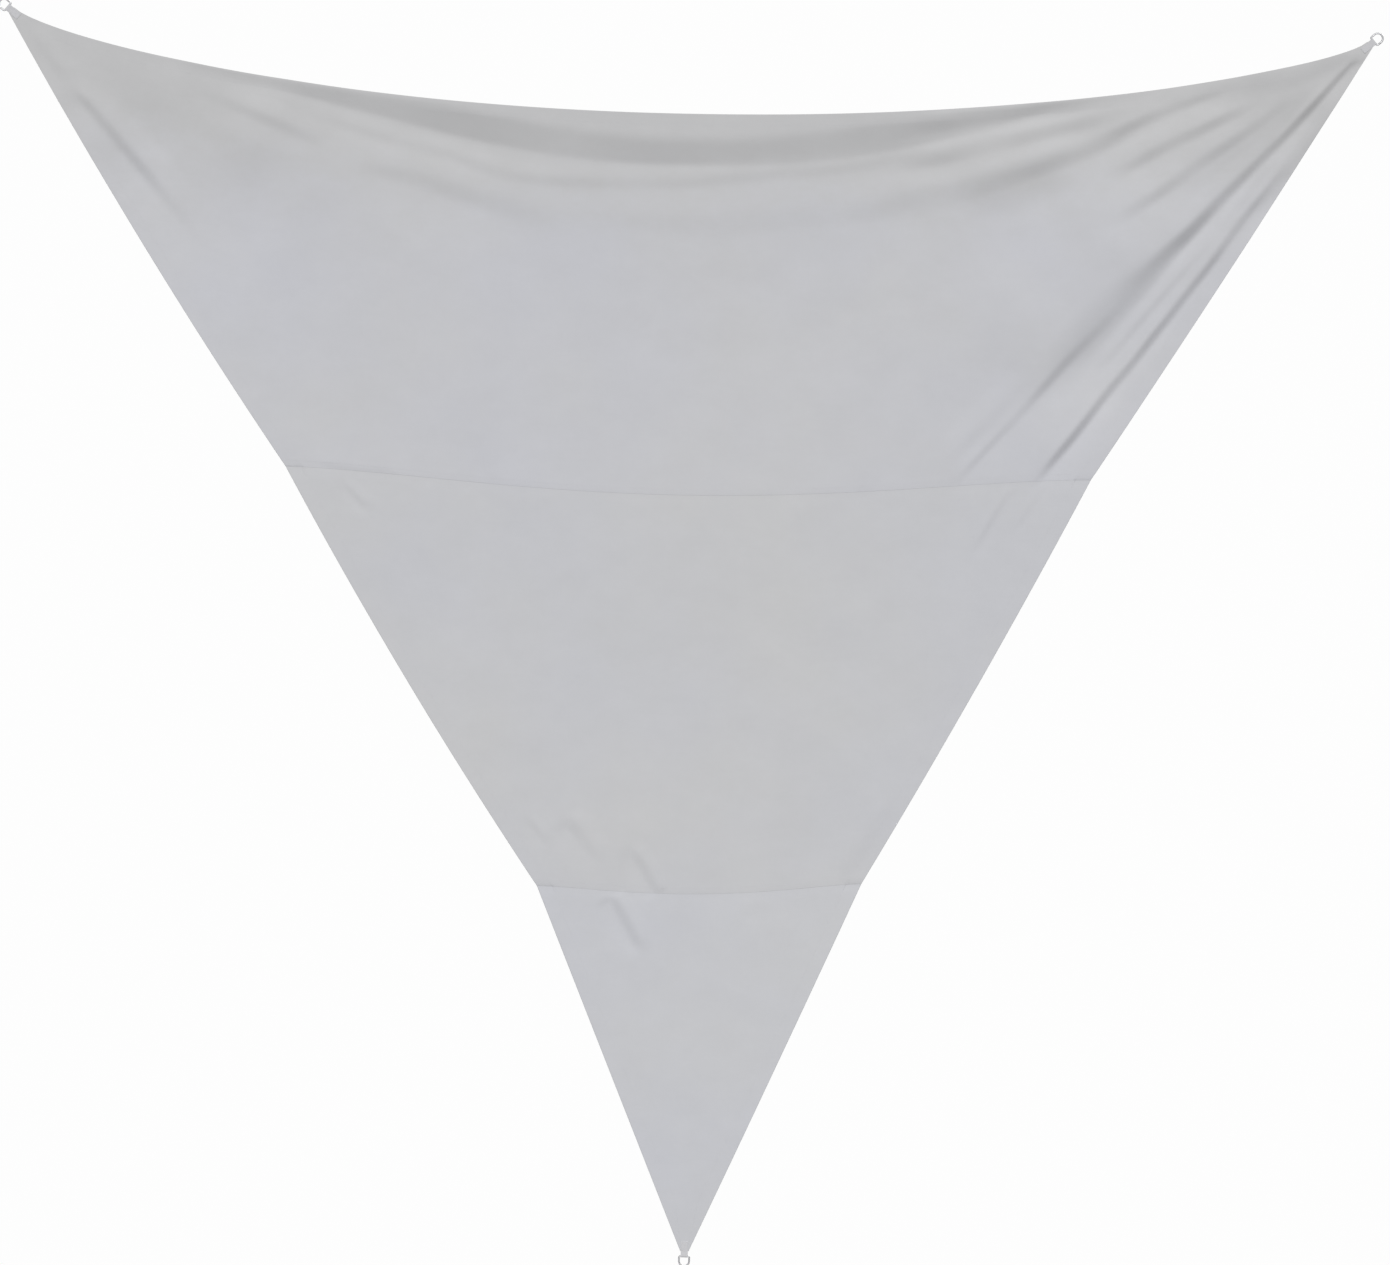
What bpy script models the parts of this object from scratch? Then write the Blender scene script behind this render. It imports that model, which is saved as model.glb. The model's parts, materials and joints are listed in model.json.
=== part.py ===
"""A triangular shade sail of three sewn panels, hung by its two upper corners and drawn down by the third.

Metres, +Z up. The origin is the eye of the upper left ring as the sail's front is seen. +X runs towards
the upper right corner and +Y away from the viewer, into the hollow of the cloth. The eyes of the three
rings lie in the plane y = 0, and the front of the sail faces -Y.

Each panel is one closed sheet. Its rows run from edge to edge of the sail, and each row has a level:
0 on the upper edge, 1 on the upper seam, 2 on the lower seam and 3 on the cut of the lower corner.
"""

from collections import namedtuple
from math import cos, hypot, pi, radians, sin

import bmesh
import bpy
import numpy as np
from mathutils import Matrix, Vector

# Cloth
CLOTH = 0.0015  # thickness of one layer of the woven cloth
HEM_EXTRA = 0.0015  # what the turned hem adds on the back
HEM_ACROSS = 0.058  # the hem's width along a row, 50 mm square to the slanting side edge
HEM_STEP = 0.008  # the hem's inner edge falls to one layer over this width
LAP = 0.018  # in levels: each panel's head lies 25 mm behind the foot of the one above
GAP = 0.0003  # between pieces that are sewn or threaded together

# Corners: the eye of each ring, and the direction in which it is pulled
Corner = namedtuple("Corner", "name x z pull_deg")
TOP_LEFT = Corner("top_left", 0.0, 0.0, 139.0)
TOP_RIGHT = Corner("top_right", 4.867, -0.123, 39.5)
BOTTOM = Corner("bottom", 2.409, -4.455, -91.8)
CORNERS = (TOP_LEFT, TOP_RIGHT, BOTTOM)
EYE_TO_CLOTH = 0.036  # from a ring's eye back to the cut tip of the cloth
TIP_WIDTH = 0.028  # across that cut
FLAT_RADIUS = 0.080  # the cloth is flat nearer to an eye than this
FULL_RADIUS = 0.330  # and its folds have their full height beyond this

# Rings and the webbing loops that hold them
WIRE = 0.006
EYE_WIDTH = 0.030
EYE_LENGTH = 0.030
BAR_BEND = 0.006  # at the two ends of the straight bar, on the wire's centre line
TAPE_WIDTH = 0.025
TAPE = 0.0012
TAPE_ON_CLOTH = 0.034

# Lines across the sail: their ends (x, z), the sag of their middle below the ends, the power of that sag,
# where under 1 is full and steep at its ends and over 1 is drawn straight towards them, and the share by
# which the left is fuller than the right.
Line = namedtuple("Line", "left right sag power lean")
UPPER_SEAM = Line((0.997, -1.638), (3.851, -1.687), sag=0.076, power=1.7, lean=0.0)
LOWER_SEAM = Line((1.888, -3.126), (3.037, -3.119), sag=0.034, power=1.5, lean=0.0)
UPPER_EDGE_SAG = 0.312
UPPER_EDGE_POWER = 0.74
UPPER_EDGE_LEAN = 0.04

# A panel: its node, how far its side edges bow out between the lines, and runs of rows, each with its first
# level, its last level and its steps.
Panel = namedtuple("Panel", "node bow_left bow_right runs")
PANELS = (
    Panel("top_panel", 0.021, 0.007, ((0.043, 0.33, 12), (0.33, 1 - LAP, 10))),
    Panel("middle_panel", 0.021, 0.011, ((1.03, 1.25, 4), (1.25, 1.78, 4), (1.78, 2 - LAP, 5))),
    Panel("bottom_panel", 0.000, 0.002, ((2.03, 2.22, 4), (2.22, 3.0, 5))),
)
CORNER_CUT_LEVEL = 0.018  # the row from the lower end of one upper corner's cut to that of the other
HEM_LEVEL = 0.037  # the inner edge of the upper hem

# Columns between the two side hems: runs with the first share of that width, the last share and the steps,
# closest on the right, where folds fan out from the upper corner.
COLUMN_RUNS = ((0.0, 0.14, 7), (0.14, 0.70, 16), (0.70, 0.86, 8), (0.86, 1.0, 9))
LEAN_CHANGE = 0.42  # the faces' diagonals lean as the folds do, which changes at this share of the columns

# The hollow of the whole sail, deepest at the middle of the three eyes
BELLY = 0.090

# Folds, each through three points (x, z) from left to right. rise is the height of its line towards the
# viewer, below 0 in a trough. reach is its spread above the line at the three points, and lower_ratio times
# that is the spread below. crease is 2 for a rounded line and 1 for a sharp one. fade is the share of the
# length over which it grows at the left and dies out at the right.
Fold = namedtuple("Fold", "name left middle right rise reach lower_ratio crease fade")
FOLDS = (
    # The stiff hem stands forward of the cloth, which drops away behind it.
    Fold("brow", (0.895, -0.285), (2.325, -0.570), (3.810, -0.350), rise=-0.038,
         reach=(0.050, 0.163, 0.050), lower_ratio=9.0, crease=1.05, fade=(0.30, 0.30)),
    # Swags under the upper edge
    Fold("swag_middle", (1.120, -0.505), (2.430, -0.740), (3.530, -0.570), rise=0.004,
         reach=(0.106, 0.092, 0.092), lower_ratio=0.7, crease=2.0, fade=(0.25, 0.25)),
    Fold("swag_left", (0.515, -0.240), (1.225, -0.520), (2.110, -0.775), rise=0.009,
         reach=(0.071, 0.128, 0.106), lower_ratio=0.6, crease=2.0, fade=(0.25, 0.45)),
    Fold("swag_right", (2.960, -0.710), (3.670, -0.555), (4.380, -0.285), rise=0.012,
         reach=(0.106, 0.120, 0.057), lower_ratio=0.8, crease=2.0, fade=(0.30, 0.30)),
    # The fan from the upper right corner, from its highest fold round to the side edge
    Fold("fan_high", (3.740, -0.915), (4.255, -0.560), (4.735, -0.200), rise=0.010,
         reach=(0.106, 0.085, 0.028), lower_ratio=0.6, crease=2.0, fade=(0.30, 0.20)),
    Fold("fan_main", (3.475, -1.510), (4.220, -0.740), (4.775, -0.185), rise=0.022,
         reach=(0.213, 0.156, 0.035), lower_ratio=0.5, crease=1.8, fade=(0.45, 0.25)),
    Fold("fan_branch", (3.375, -1.685), (3.740, -1.305), (4.025, -0.995), rise=0.006,
         reach=(0.050, 0.050, 0.035), lower_ratio=0.7, crease=1.6, fade=(0.10, 0.30)),
    Fold("fan_low", (3.685, -1.650), (4.200, -1.000), (4.735, -0.325), rise=0.012,
         reach=(0.064, 0.057, 0.021), lower_ratio=0.8, crease=1.6, fade=(0.20, 0.25)),
    Fold("under_seam", (3.440, -1.970), (3.565, -1.830), (3.670, -1.710), rise=0.004,
         reach=(0.043, 0.043, 0.032), lower_ratio=0.8, crease=2.0, fade=(0.30, 0.20)),
    # The fold beside the left edge
    Fold("left_side", (0.185, -0.205), (0.480, -0.580), (0.770, -0.920), rise=0.009,
         reach=(0.035, 0.071, 0.050), lower_ratio=0.6, crease=1.6, fade=(0.30, 0.30)),
    # Short creases that the lower seam draws
    Fold("crease_above", (2.000, -2.885), (2.070, -2.965), (2.135, -3.035), rise=0.003,
         reach=(0.035, 0.035, 0.028), lower_ratio=1.0, crease=2.0, fade=(0.30, 0.20)),
    Fold("crease_below", (2.155, -3.170), (2.210, -3.255), (2.260, -3.345), rise=0.004,
         reach=(0.032, 0.032, 0.025), lower_ratio=1.0, crease=2.0, fade=(0.15, 0.30)),
    Fold("crease_right", (2.980, -3.060), (3.075, -2.925), (3.165, -2.780), rise=0.003,
         reach=(0.035, 0.039, 0.028), lower_ratio=1.0, crease=2.0, fade=(0.15, 0.30)),
)
FOLD_STEPS = 40  # straight steps that stand for a fold's curve
SHOULDER = 1.6  # power of a fold's cross-section: how softly it runs out into the cloth

# Colours, as linear RGB
CLOTH_COLOUR = (0.54, 0.55, 0.58)
TAPE_COLOUR = (0.62, 0.62, 0.64)
STEEL_COLOUR = (0.62, 0.62, 0.63)


def clear_scene():
    for old in list(bpy.data.objects):
        bpy.data.objects.remove(old)


def material(name, colour, roughness, metallic):
    """A plain material with these values."""
    made = bpy.data.materials.new(name)
    made.use_nodes = True
    shader = made.node_tree.nodes["Principled BSDF"]
    shader.inputs["Base Color"].default_value = (*colour, 1.0)
    shader.inputs["Roughness"].default_value = roughness
    shader.inputs["Metallic"].default_value = metallic
    return made


def add_object(name, data, finish):
    made = bpy.data.objects.new(name, data)
    data.materials.append(finish)
    bpy.context.scene.collection.objects.link(made)
    return made


def smooth_step(share):
    share = np.clip(share, 0.0, 1.0)
    return share * share * (3.0 - 2.0 * share)


def through_three(share, first, middle, last):
    """The quadratic that is first at share 0, middle at 0.5 and last at 1."""
    return (
        first * (2 * share - 1) * (share - 1)
        + middle * 4 * share * (1 - share)
        + last * share * (2 * share - 1)
    )


# ---------------------------------------------------------------- how far the cloth lies from the plane y = 0


def fold_rise(fold, x, z):
    """The fold's height towards the viewer at points (x, z)."""
    shares = np.linspace(0.0, 1.0, FOLD_STEPS + 1)
    line_x = through_three(shares, fold.left[0], fold.middle[0], fold.right[0])
    line_z = through_three(shares, fold.left[1], fold.middle[1], fold.right[1])
    nearest = np.full(x.shape, np.inf)
    above = np.zeros(x.shape, dtype=bool)
    share = np.zeros(x.shape)
    for i in range(FOLD_STEPS):
        step_x = line_x[i + 1] - line_x[i]
        step_z = line_z[i + 1] - line_z[i]
        along = ((x - line_x[i]) * step_x + (z - line_z[i]) * step_z) / (step_x**2 + step_z**2)
        along = np.clip(along, 0.0, 1.0)
        off_x = x - line_x[i] - along * step_x
        off_z = z - line_z[i] - along * step_z
        distance = np.hypot(off_x, off_z)
        closer = distance < nearest
        nearest = np.where(closer, distance, nearest)
        above = np.where(closer, step_x * off_z - step_z * off_x > 0, above)
        share = np.where(closer, (i + along) / FOLD_STEPS, share)
    reach = through_three(share, *fold.reach) * np.where(above, 1.0, fold.lower_ratio)
    section = (1.0 - np.clip(nearest / reach, 0.0, 1.0) ** fold.crease) ** SHOULDER
    strength = smooth_step(share / fold.fade[0]) * smooth_step((1.0 - share) / fold.fade[1])
    return fold.rise * section * strength


def belly_depth(x, z):
    """The hollow of the whole sail: 0 along the straight lines between the eyes, BELLY at their middle."""
    a, b, c = CORNERS
    double_area = (b.z - c.z) * (a.x - c.x) + (c.x - b.x) * (a.z - c.z)
    near_a = ((b.z - c.z) * (x - c.x) + (c.x - b.x) * (z - c.z)) / double_area
    near_b = ((c.z - a.z) * (x - c.x) + (a.x - c.x) * (z - c.z)) / double_area
    near_c = 1.0 - near_a - near_b
    return BELLY * 27.0 * np.maximum(near_a * near_b * near_c, 0.0)


def front_y(x, z):
    """The front face of the cloth, less any lap. At the corners the doubled hem is centred on y = 0."""
    depth = belly_depth(x, z)
    for fold in FOLDS:
        depth = depth - fold_rise(fold, x, z)
    for corner in CORNERS:
        from_eye = np.hypot(x - corner.x, z - corner.z)
        depth = depth * smooth_step((from_eye - FLAT_RADIUS) / (FULL_RADIUS - FLAT_RADIUS))
    return depth - CLOTH


# ---------------------------------------------------------------- the outline and the rows and columns in it


def cut_ends(corner):
    """The two ends (x, z) of the cut tip of the cloth, the one to the left of the pull first."""
    pull = np.array((cos(radians(corner.pull_deg)), sin(radians(corner.pull_deg))))
    left_of_pull = np.array((-pull[1], pull[0]))
    tip = np.array((corner.x, corner.z)) - EYE_TO_CLOTH * pull
    return tip + left_of_pull * TIP_WIDTH / 2, tip - left_of_pull * TIP_WIDTH / 2


def sewn_lines():
    """The four lines across the sail, from its upper edge to the cut of its lower corner, and the lower ends
    of the two upper corners' cuts, where the side edges start.
    """
    left_below, left_above = cut_ends(TOP_LEFT)
    right_above, right_below = cut_ends(TOP_RIGHT)
    foot_right, foot_left = cut_ends(BOTTOM)
    upper_edge = Line(left_above, right_above, UPPER_EDGE_SAG, UPPER_EDGE_POWER, UPPER_EDGE_LEAN)
    foot = Line(foot_left, foot_right, sag=0.0, power=1.0, lean=0.0)
    return (upper_edge, UPPER_SEAM, LOWER_SEAM, foot), (left_below, right_below)


def side_point(upper, lower, share, bow):
    """A point of a side edge. It lies on a line from upper to lower that bows out by bow, square to itself."""
    upper, lower = np.array(upper), np.array(lower)
    run = lower - upper
    square = np.array((-run[1], run[0])) / hypot(*run)
    return upper + run * share + square * bow * 4 * share * (1 - share)


def row_of_cloth(level):
    """The points (x, z) of the row at this level, one for each column."""
    lines, (left_below, right_below) = sewn_lines()
    index = min(int(level), len(PANELS) - 1)
    upper, lower, panel = lines[index], lines[index + 1], PANELS[index]
    share = level - index
    sag = upper.sag + (lower.sag - upper.sag) * share
    power = upper.power + (lower.power - upper.power) * share
    lean = upper.lean + (lower.lean - upper.lean) * share
    if index > 0:
        left = side_point(upper.left, lower.left, share, -panel.bow_left)
        right = side_point(upper.right, lower.right, share, panel.bow_right)
    elif level < CORNER_CUT_LEVEL:
        left = side_point(upper.left, left_below, level / CORNER_CUT_LEVEL, 0.0)
        right = side_point(upper.right, right_below, level / CORNER_CUT_LEVEL, 0.0)
    else:
        side_share = (level - CORNER_CUT_LEVEL) / (1.0 - CORNER_CUT_LEVEL)
        left = side_point(left_below, lower.left, side_share, -panel.bow_left)
        right = side_point(right_below, lower.right, side_share, panel.bow_right)
    width = right[0] - left[0]
    across = column_offsets(width) / width
    hang = sag * (4 * across * (1 - across)) ** power * (1 + lean * (1 - 2 * across))
    x = left[0] + width * across
    z = left[1] + (right[1] - left[1]) * across - hang
    return x, z


def column_offsets(width):
    """How far each column lies from the row's left end. The side hems are squeezed where the row is short."""
    hem = min(HEM_ACROSS, 0.3 * width)
    step = min(HEM_STEP, 0.05 * width)
    inner = width - 2 * (hem + step)
    shares = [0.0]
    for first, last, steps in COLUMN_RUNS:
        shares.extend(np.linspace(first, last, steps + 1)[1:])
    middle = hem + step + inner * np.array(shares)
    return np.concatenate(([0.0, hem], middle, [width - hem, width]))


def levels_of(index):
    """The levels of a panel's rows from top to bottom. A lower panel starts with its lap."""
    levels = [0.0, CORNER_CUT_LEVEL, HEM_LEVEL] if index == 0 else [index - LAP, float(index)]
    for first, last, steps in PANELS[index].runs:
        run = list(np.linspace(first, last, steps + 1))
        levels.extend(run if not levels or abs(levels[-1] - first) > 1e-9 else run[1:])
    if levels[-1] < index + 1:
        levels.append(float(index + 1))
    return levels


# ---------------------------------------------------------------- pieces


def add_panel(index):
    """One panel: a closed sheet, thicker by its hems, with its head pushed behind the panel above."""
    levels = levels_of(index)
    rows = [row_of_cloth(level) for level in levels]
    x = np.array([row[0] for row in rows])
    z = np.array([row[1] for row in rows])
    hemmed = np.zeros(x.shape)
    hemmed[:, [0, 1, -2, -1]] = 1.0
    if index == 0:
        hemmed[np.array(levels) <= HEM_LEVEL] = 1.0
    if index == len(PANELS) - 1:
        hemmed[-1] = 1.0
    thickness = CLOTH + HEM_EXTRA * hemmed
    front = front_y(x, z)
    if index > 0:
        lapped = np.array(levels) <= index
        front[lapped] += thickness[lapped] + GAP
    mesh = closed_sheet(PANELS[index].node, x, z, front, front + thickness)
    return add_object(PANELS[index].node, mesh, material("cloth_" + PANELS[index].node, CLOTH_COLOUR, 0.85, 0.0))


def closed_sheet(name, x, z, front, back):
    """A closed mesh with a front face, a back face and the rim between them, from grids of points."""
    shaped = bmesh.new()
    count_rows, count_columns = x.shape
    sides = []
    for y in (front, back):
        grid = [
            [shaped.verts.new((x[r, c], y[r, c], z[r, c])) for c in range(count_columns)]
            for r in range(count_rows)
        ]
        sides.append(grid)
    turn = int(LEAN_CHANGE * count_columns)
    for r in range(count_rows - 1):
        for c in range(count_columns - 1):
            for grid, outward in ((sides[0], True), (sides[1], False)):
                corners = (grid[r][c], grid[r + 1][c], grid[r + 1][c + 1], grid[r][c + 1])
                add_leaning_pair(shaped, corners, c < turn, outward)
    rim = [(r, 0) for r in range(count_rows)]
    rim += [(count_rows - 1, c) for c in range(1, count_columns)]
    rim += [(r, count_columns - 1) for r in range(count_rows - 2, -1, -1)]
    rim += [(0, c) for c in range(count_columns - 2, 0, -1)]
    for here, there in zip(rim, rim[1:] + rim[:1]):
        (r0, c0), (r1, c1) = here, there
        shaped.faces.new((sides[0][r0][c0], sides[1][r0][c0], sides[1][r1][c1], sides[0][r1][c1]))
    bmesh.ops.recalc_face_normals(shaped, faces=shaped.faces)
    mesh = bpy.data.meshes.new(name)
    shaped.to_mesh(mesh)
    shaped.free()
    mesh.shade_smooth()
    mesh.set_sharp_from_angle(angle=radians(50))
    return mesh


def add_leaning_pair(shaped, corners, falls_to_right, outward):
    """Two triangles for a cell of the grid, whose corners are upper left, lower left, lower right, upper right."""
    upper_left, lower_left, lower_right, upper_right = corners
    if falls_to_right:
        pair = ((upper_left, lower_left, lower_right), (upper_left, lower_right, upper_right))
    else:
        pair = ((upper_left, lower_left, upper_right), (lower_left, lower_right, upper_right))
    for triangle in pair:
        shaped.faces.new(triangle if outward else triangle[::-1])


def corner_place(corner):
    """The matrix that sets a piece at a corner: its +Y along the pull, its +Z towards the viewer."""
    pull = Vector((cos(radians(corner.pull_deg)), 0.0, sin(radians(corner.pull_deg))))
    to_viewer = Vector((0.0, -1.0, 0.0))
    across = pull.cross(to_viewer)
    turn = Matrix((across, pull, to_viewer)).transposed().to_4x4()
    return Matrix.Translation((corner.x, 0.0, corner.z)) @ turn


def arc(centre, radius, from_deg, to_deg, steps):
    """Points (x, y) along an arc."""
    angles = [radians(from_deg + (to_deg - from_deg) * i / steps) for i in range(steps + 1)]
    return [(centre[0] + radius * cos(a), centre[1] + radius * sin(a)) for a in angles]


def add_ring(corner, finish):
    """A D-ring of round wire, its eye at the origin and its straight bar towards the cloth."""
    half_width = (EYE_WIDTH + WIRE) / 2
    bar_y = -(EYE_LENGTH + WIRE) / 2
    bow_y = (EYE_LENGTH + WIRE) / 2 - half_width
    bend_x = half_width - BAR_BEND
    bend_y = bar_y + BAR_BEND
    centre_line = arc((0.0, bow_y), half_width, 0, 180, 16)
    centre_line += arc((-bend_x, bend_y), BAR_BEND, 180, 270, 4)
    centre_line += arc((bend_x, bend_y), BAR_BEND, 270, 360, 4)
    curve = bpy.data.curves.new("ring_" + corner.name, "CURVE")
    curve.dimensions = "3D"
    curve.bevel_depth = WIRE / 2
    curve.bevel_resolution = 4
    spline = curve.splines.new("POLY")
    spline.points.add(len(centre_line) - 1)
    for point, (x, y) in zip(spline.points, centre_line):
        point.co = (x, y, 0.0, 1.0)
    spline.use_cyclic_u = True
    ring = add_object("ring_" + corner.name, curve, finish)
    ring.matrix_world = corner_place(corner)
    return ring


def add_loop(corner, finish):
    """A tape folded round the ring's bar, its two legs on the front and the back of the cloth's tip."""
    bar_y = -(EYE_LENGTH + WIRE) / 2
    wrap = WIRE / 2 + GAP + TAPE / 2
    leg = CLOTH + GAP + TAPE / 2
    cloth_y = -EYE_TO_CLOTH
    front_leg = [(cloth_y - TAPE_ON_CLOTH, leg), (cloth_y - TAPE_ON_CLOTH / 2, leg), (cloth_y, leg)]
    for share in (0.25, 0.5, 0.75):
        y = cloth_y + (bar_y - cloth_y) * share
        front_leg.append((y, leg + (wrap - leg) * (1 - cos(pi * share)) / 2))
    fold = arc((bar_y, 0.0), wrap, 90, -90, 10)
    back_leg = [(y, -height) for y, height in reversed(front_leg)]
    mesh = bpy.data.meshes.new("loop_" + corner.name)
    shaped = bmesh.new()
    edges = []
    for y, height in front_leg + fold + back_leg:
        edges.append([shaped.verts.new((x, y, height)) for x in (-TAPE_WIDTH / 2, TAPE_WIDTH / 2)])
    for (a, b), (c, d) in zip(edges, edges[1:]):
        shaped.faces.new((a, b, d, c))
    shaped.to_mesh(mesh)
    shaped.free()
    loop = add_object("loop_" + corner.name, mesh, finish)
    loop.matrix_world = corner_place(corner)
    tape = loop.modifiers.new("tape", "SOLIDIFY")
    tape.thickness = TAPE
    tape.offset = 0.0
    tape.use_even_offset = True
    return loop


def main():
    clear_scene()
    for index in range(len(PANELS)):
        add_panel(index)
    for corner in CORNERS:
        add_loop(corner, material("tape_" + corner.name, TAPE_COLOUR, 0.8, 0.0))
        add_ring(corner, material("steel_" + corner.name, STEEL_COLOUR, 0.3, 1.0))


main()
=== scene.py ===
"""Dresses a hung triangular shade sail: cloth, stitching, webbing loops, rings, and a pale studio round it.

Metres, +Z up. The front of the sail faces -Y. A place on the cloth is a level, which is 0 on the upper
edge, 1 and 2 on the two seams and 3 on the cut of the lower corner, and an offset from the left end of its
row.
"""

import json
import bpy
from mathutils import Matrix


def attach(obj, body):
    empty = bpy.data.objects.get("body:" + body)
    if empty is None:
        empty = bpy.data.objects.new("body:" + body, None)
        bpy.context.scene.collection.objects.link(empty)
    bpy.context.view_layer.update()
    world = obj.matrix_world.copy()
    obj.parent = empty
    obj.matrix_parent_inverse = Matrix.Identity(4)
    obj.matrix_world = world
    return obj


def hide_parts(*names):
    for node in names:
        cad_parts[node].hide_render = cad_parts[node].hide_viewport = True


bl_info = {
    "name": "Shade sail",
    "version": (1, 0, 0),
    "blender": (4, 5, 0),
    "location": "3D View > Sidebar > Shade sail",
    "description": "Dresses a hung shade sail with cloth, stitching, webbing loops and rings",
    "category": "Object",
}

from collections import namedtuple
from math import atan2, cos, hypot, pi, radians, sin

import bpy
import numpy as np
from bpy.props import FloatProperty, FloatVectorProperty, PointerProperty
from mathutils import Matrix, Vector
from mathutils.noise import noise

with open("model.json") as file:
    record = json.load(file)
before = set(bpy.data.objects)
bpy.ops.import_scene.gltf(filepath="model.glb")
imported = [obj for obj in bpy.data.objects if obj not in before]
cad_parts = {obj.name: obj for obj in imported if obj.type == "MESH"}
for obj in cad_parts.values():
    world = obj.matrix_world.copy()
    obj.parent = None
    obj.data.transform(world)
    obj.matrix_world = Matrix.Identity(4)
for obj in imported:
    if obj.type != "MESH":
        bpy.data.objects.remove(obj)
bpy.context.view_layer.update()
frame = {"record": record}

# ---------------------------------------------------------------- the sail's own sizes

Corner = namedtuple("Corner", "name x z pull_deg")


def corner_from_frame(name):
    """A corner's eye and the direction of its pull, as the frame's record gives them."""
    mount = next(m for m in frame["record"]["mounts"] if m["name"] == name + "_ring")
    x, _, z = mount["pos_m"]
    return Corner(name, x, z, atan2(mount["axis"][2], mount["axis"][0]) * 180 / pi)


TOP_LEFT = corner_from_frame("top_left")
TOP_RIGHT = corner_from_frame("top_right")
BOTTOM = corner_from_frame("bottom")
CORNERS = (TOP_LEFT, TOP_RIGHT, BOTTOM)
EYE_TO_CLOTH = 0.036  # from a ring's eye back to the cut tip of the cloth
TIP_WIDTH = 0.028
FLAT_RADIUS = 0.080  # the cloth is flat nearer to an eye than this
FULL_RADIUS = 0.120  # and its folds have their full height beyond this

CLOTH = 0.0009
HEM = 0.0024  # the doubled cloth of a hem
HEM_ACROSS = 0.058
HEM_STEP = 0.008
HEM_MOST = 0.3  # near a tip, the shares of a row that its hem and the hem's step take at most
HEM_STEP_MOST = 0.05
HEM_COLUMNS = 6  # columns from either end that have the doubled hem
HEM_COLUMNS_AT = (0.35, 0.7)  # the shares of the hem's width where two of them lie
GAP = 0.0002
EDGE_ROUND = 0.0012  # how far in from its edges the cloth is rounded off
RIM_BULGE = 0.35  # how far the rim stands out, as a share of the cloth's thickness
PANEL_DROP = 1.5  # the height of a panel, roughly, by which lengths are turned into levels

# In levels: the lap of a panel behind the one above, the height over which it comes forward again below the
# seam, the height over which the sewn edge above it is pressed thin, and the share by which it is
LAP = 0.018
LAP_COMES_FORWARD = 0.03
PRESSED = 0.010
PRESSED_BY = 0.8

Line = namedtuple("Line", "left right sag power lean")
UPPER_SEAM = Line((0.997, -1.638), (3.851, -1.687), sag=0.076, power=1.7, lean=0.0)
LOWER_SEAM = Line((1.888, -3.126), (3.037, -3.119), sag=0.034, power=1.5, lean=0.0)
UPPER_EDGE_SAG = 0.312
UPPER_EDGE_POWER = 0.74
UPPER_EDGE_LEAN = 0.04
CORNER_CUT_LEVEL = 0.018
HEM_LEVEL = 0.037
HEM_ROWS = (-0.004, 0.0, 0.003)  # rows near the inner edge of the upper hem, and near a seam
SEAM_ROWS = (-0.002, 0.0, 0.002, 0.012)
ROW_STEP = 0.004  # from those to the next row
SIDE_LEVELS = np.linspace(CORNER_CUT_LEVEL, 2.999, 160)
BELLY = 0.090
BELLY_MIDDLE = 27.0  # makes the product of three shares 1 where each is a third

# Threads
HEM_LINE = 0.004  # from the inner edge of a hem to the thread
TOP_THREAD_LEVEL = HEM_LEVEL - HEM_LINE / PANEL_DROP  # the upper hem's thread, where the side threads end
LAST_THREAD_LEVEL = 2.975  # where they end in the lower corner
SEAM_LINES = (0.004, 0.021)  # from the cut edge of the upper cloth of a seam up to its two threads
ROW_THREAD_STEP = 0.012  # between the points that a line of thread runs through
SIDE_THREAD_POINTS = 150
STITCH_RISE = 0.9  # a stitch's thickness off the cloth, as a share of its thread
STITCH_VARIES = 0.05
STITCH_SEED = 17

# A panel: its name, how far its side edges bow out, the flat size it was cut to, its flat area, the rows
# and columns of its mesh, how much closer together they are at its top and at its right, the tint of its
# lot of cloth, and the corners on it
Panel = namedtuple(
    "Panel", "name bow_left bow_right flat area rows columns rows_up columns_right lot corners"
)
PANELS = (
    Panel("top", 0.021, 0.007, (5.02, 1.68), 5.60, 118, 400, 0.35, 0.35, (1.006, 1.003, 1.018),
          (TOP_LEFT, TOP_RIGHT)),
    Panel("middle", 0.021, 0.011, (3.02, 1.60), 3.15, 116, 280, 0.0, 0.0, (1.003, 0.999, 0.999), ()),
    Panel("bottom", 0.000, 0.002, (1.30, 1.40), 0.90, 104, 116, 0.2, 0.0, (1.016, 1.016, 1.030), (BOTTOM,)),
)

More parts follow.
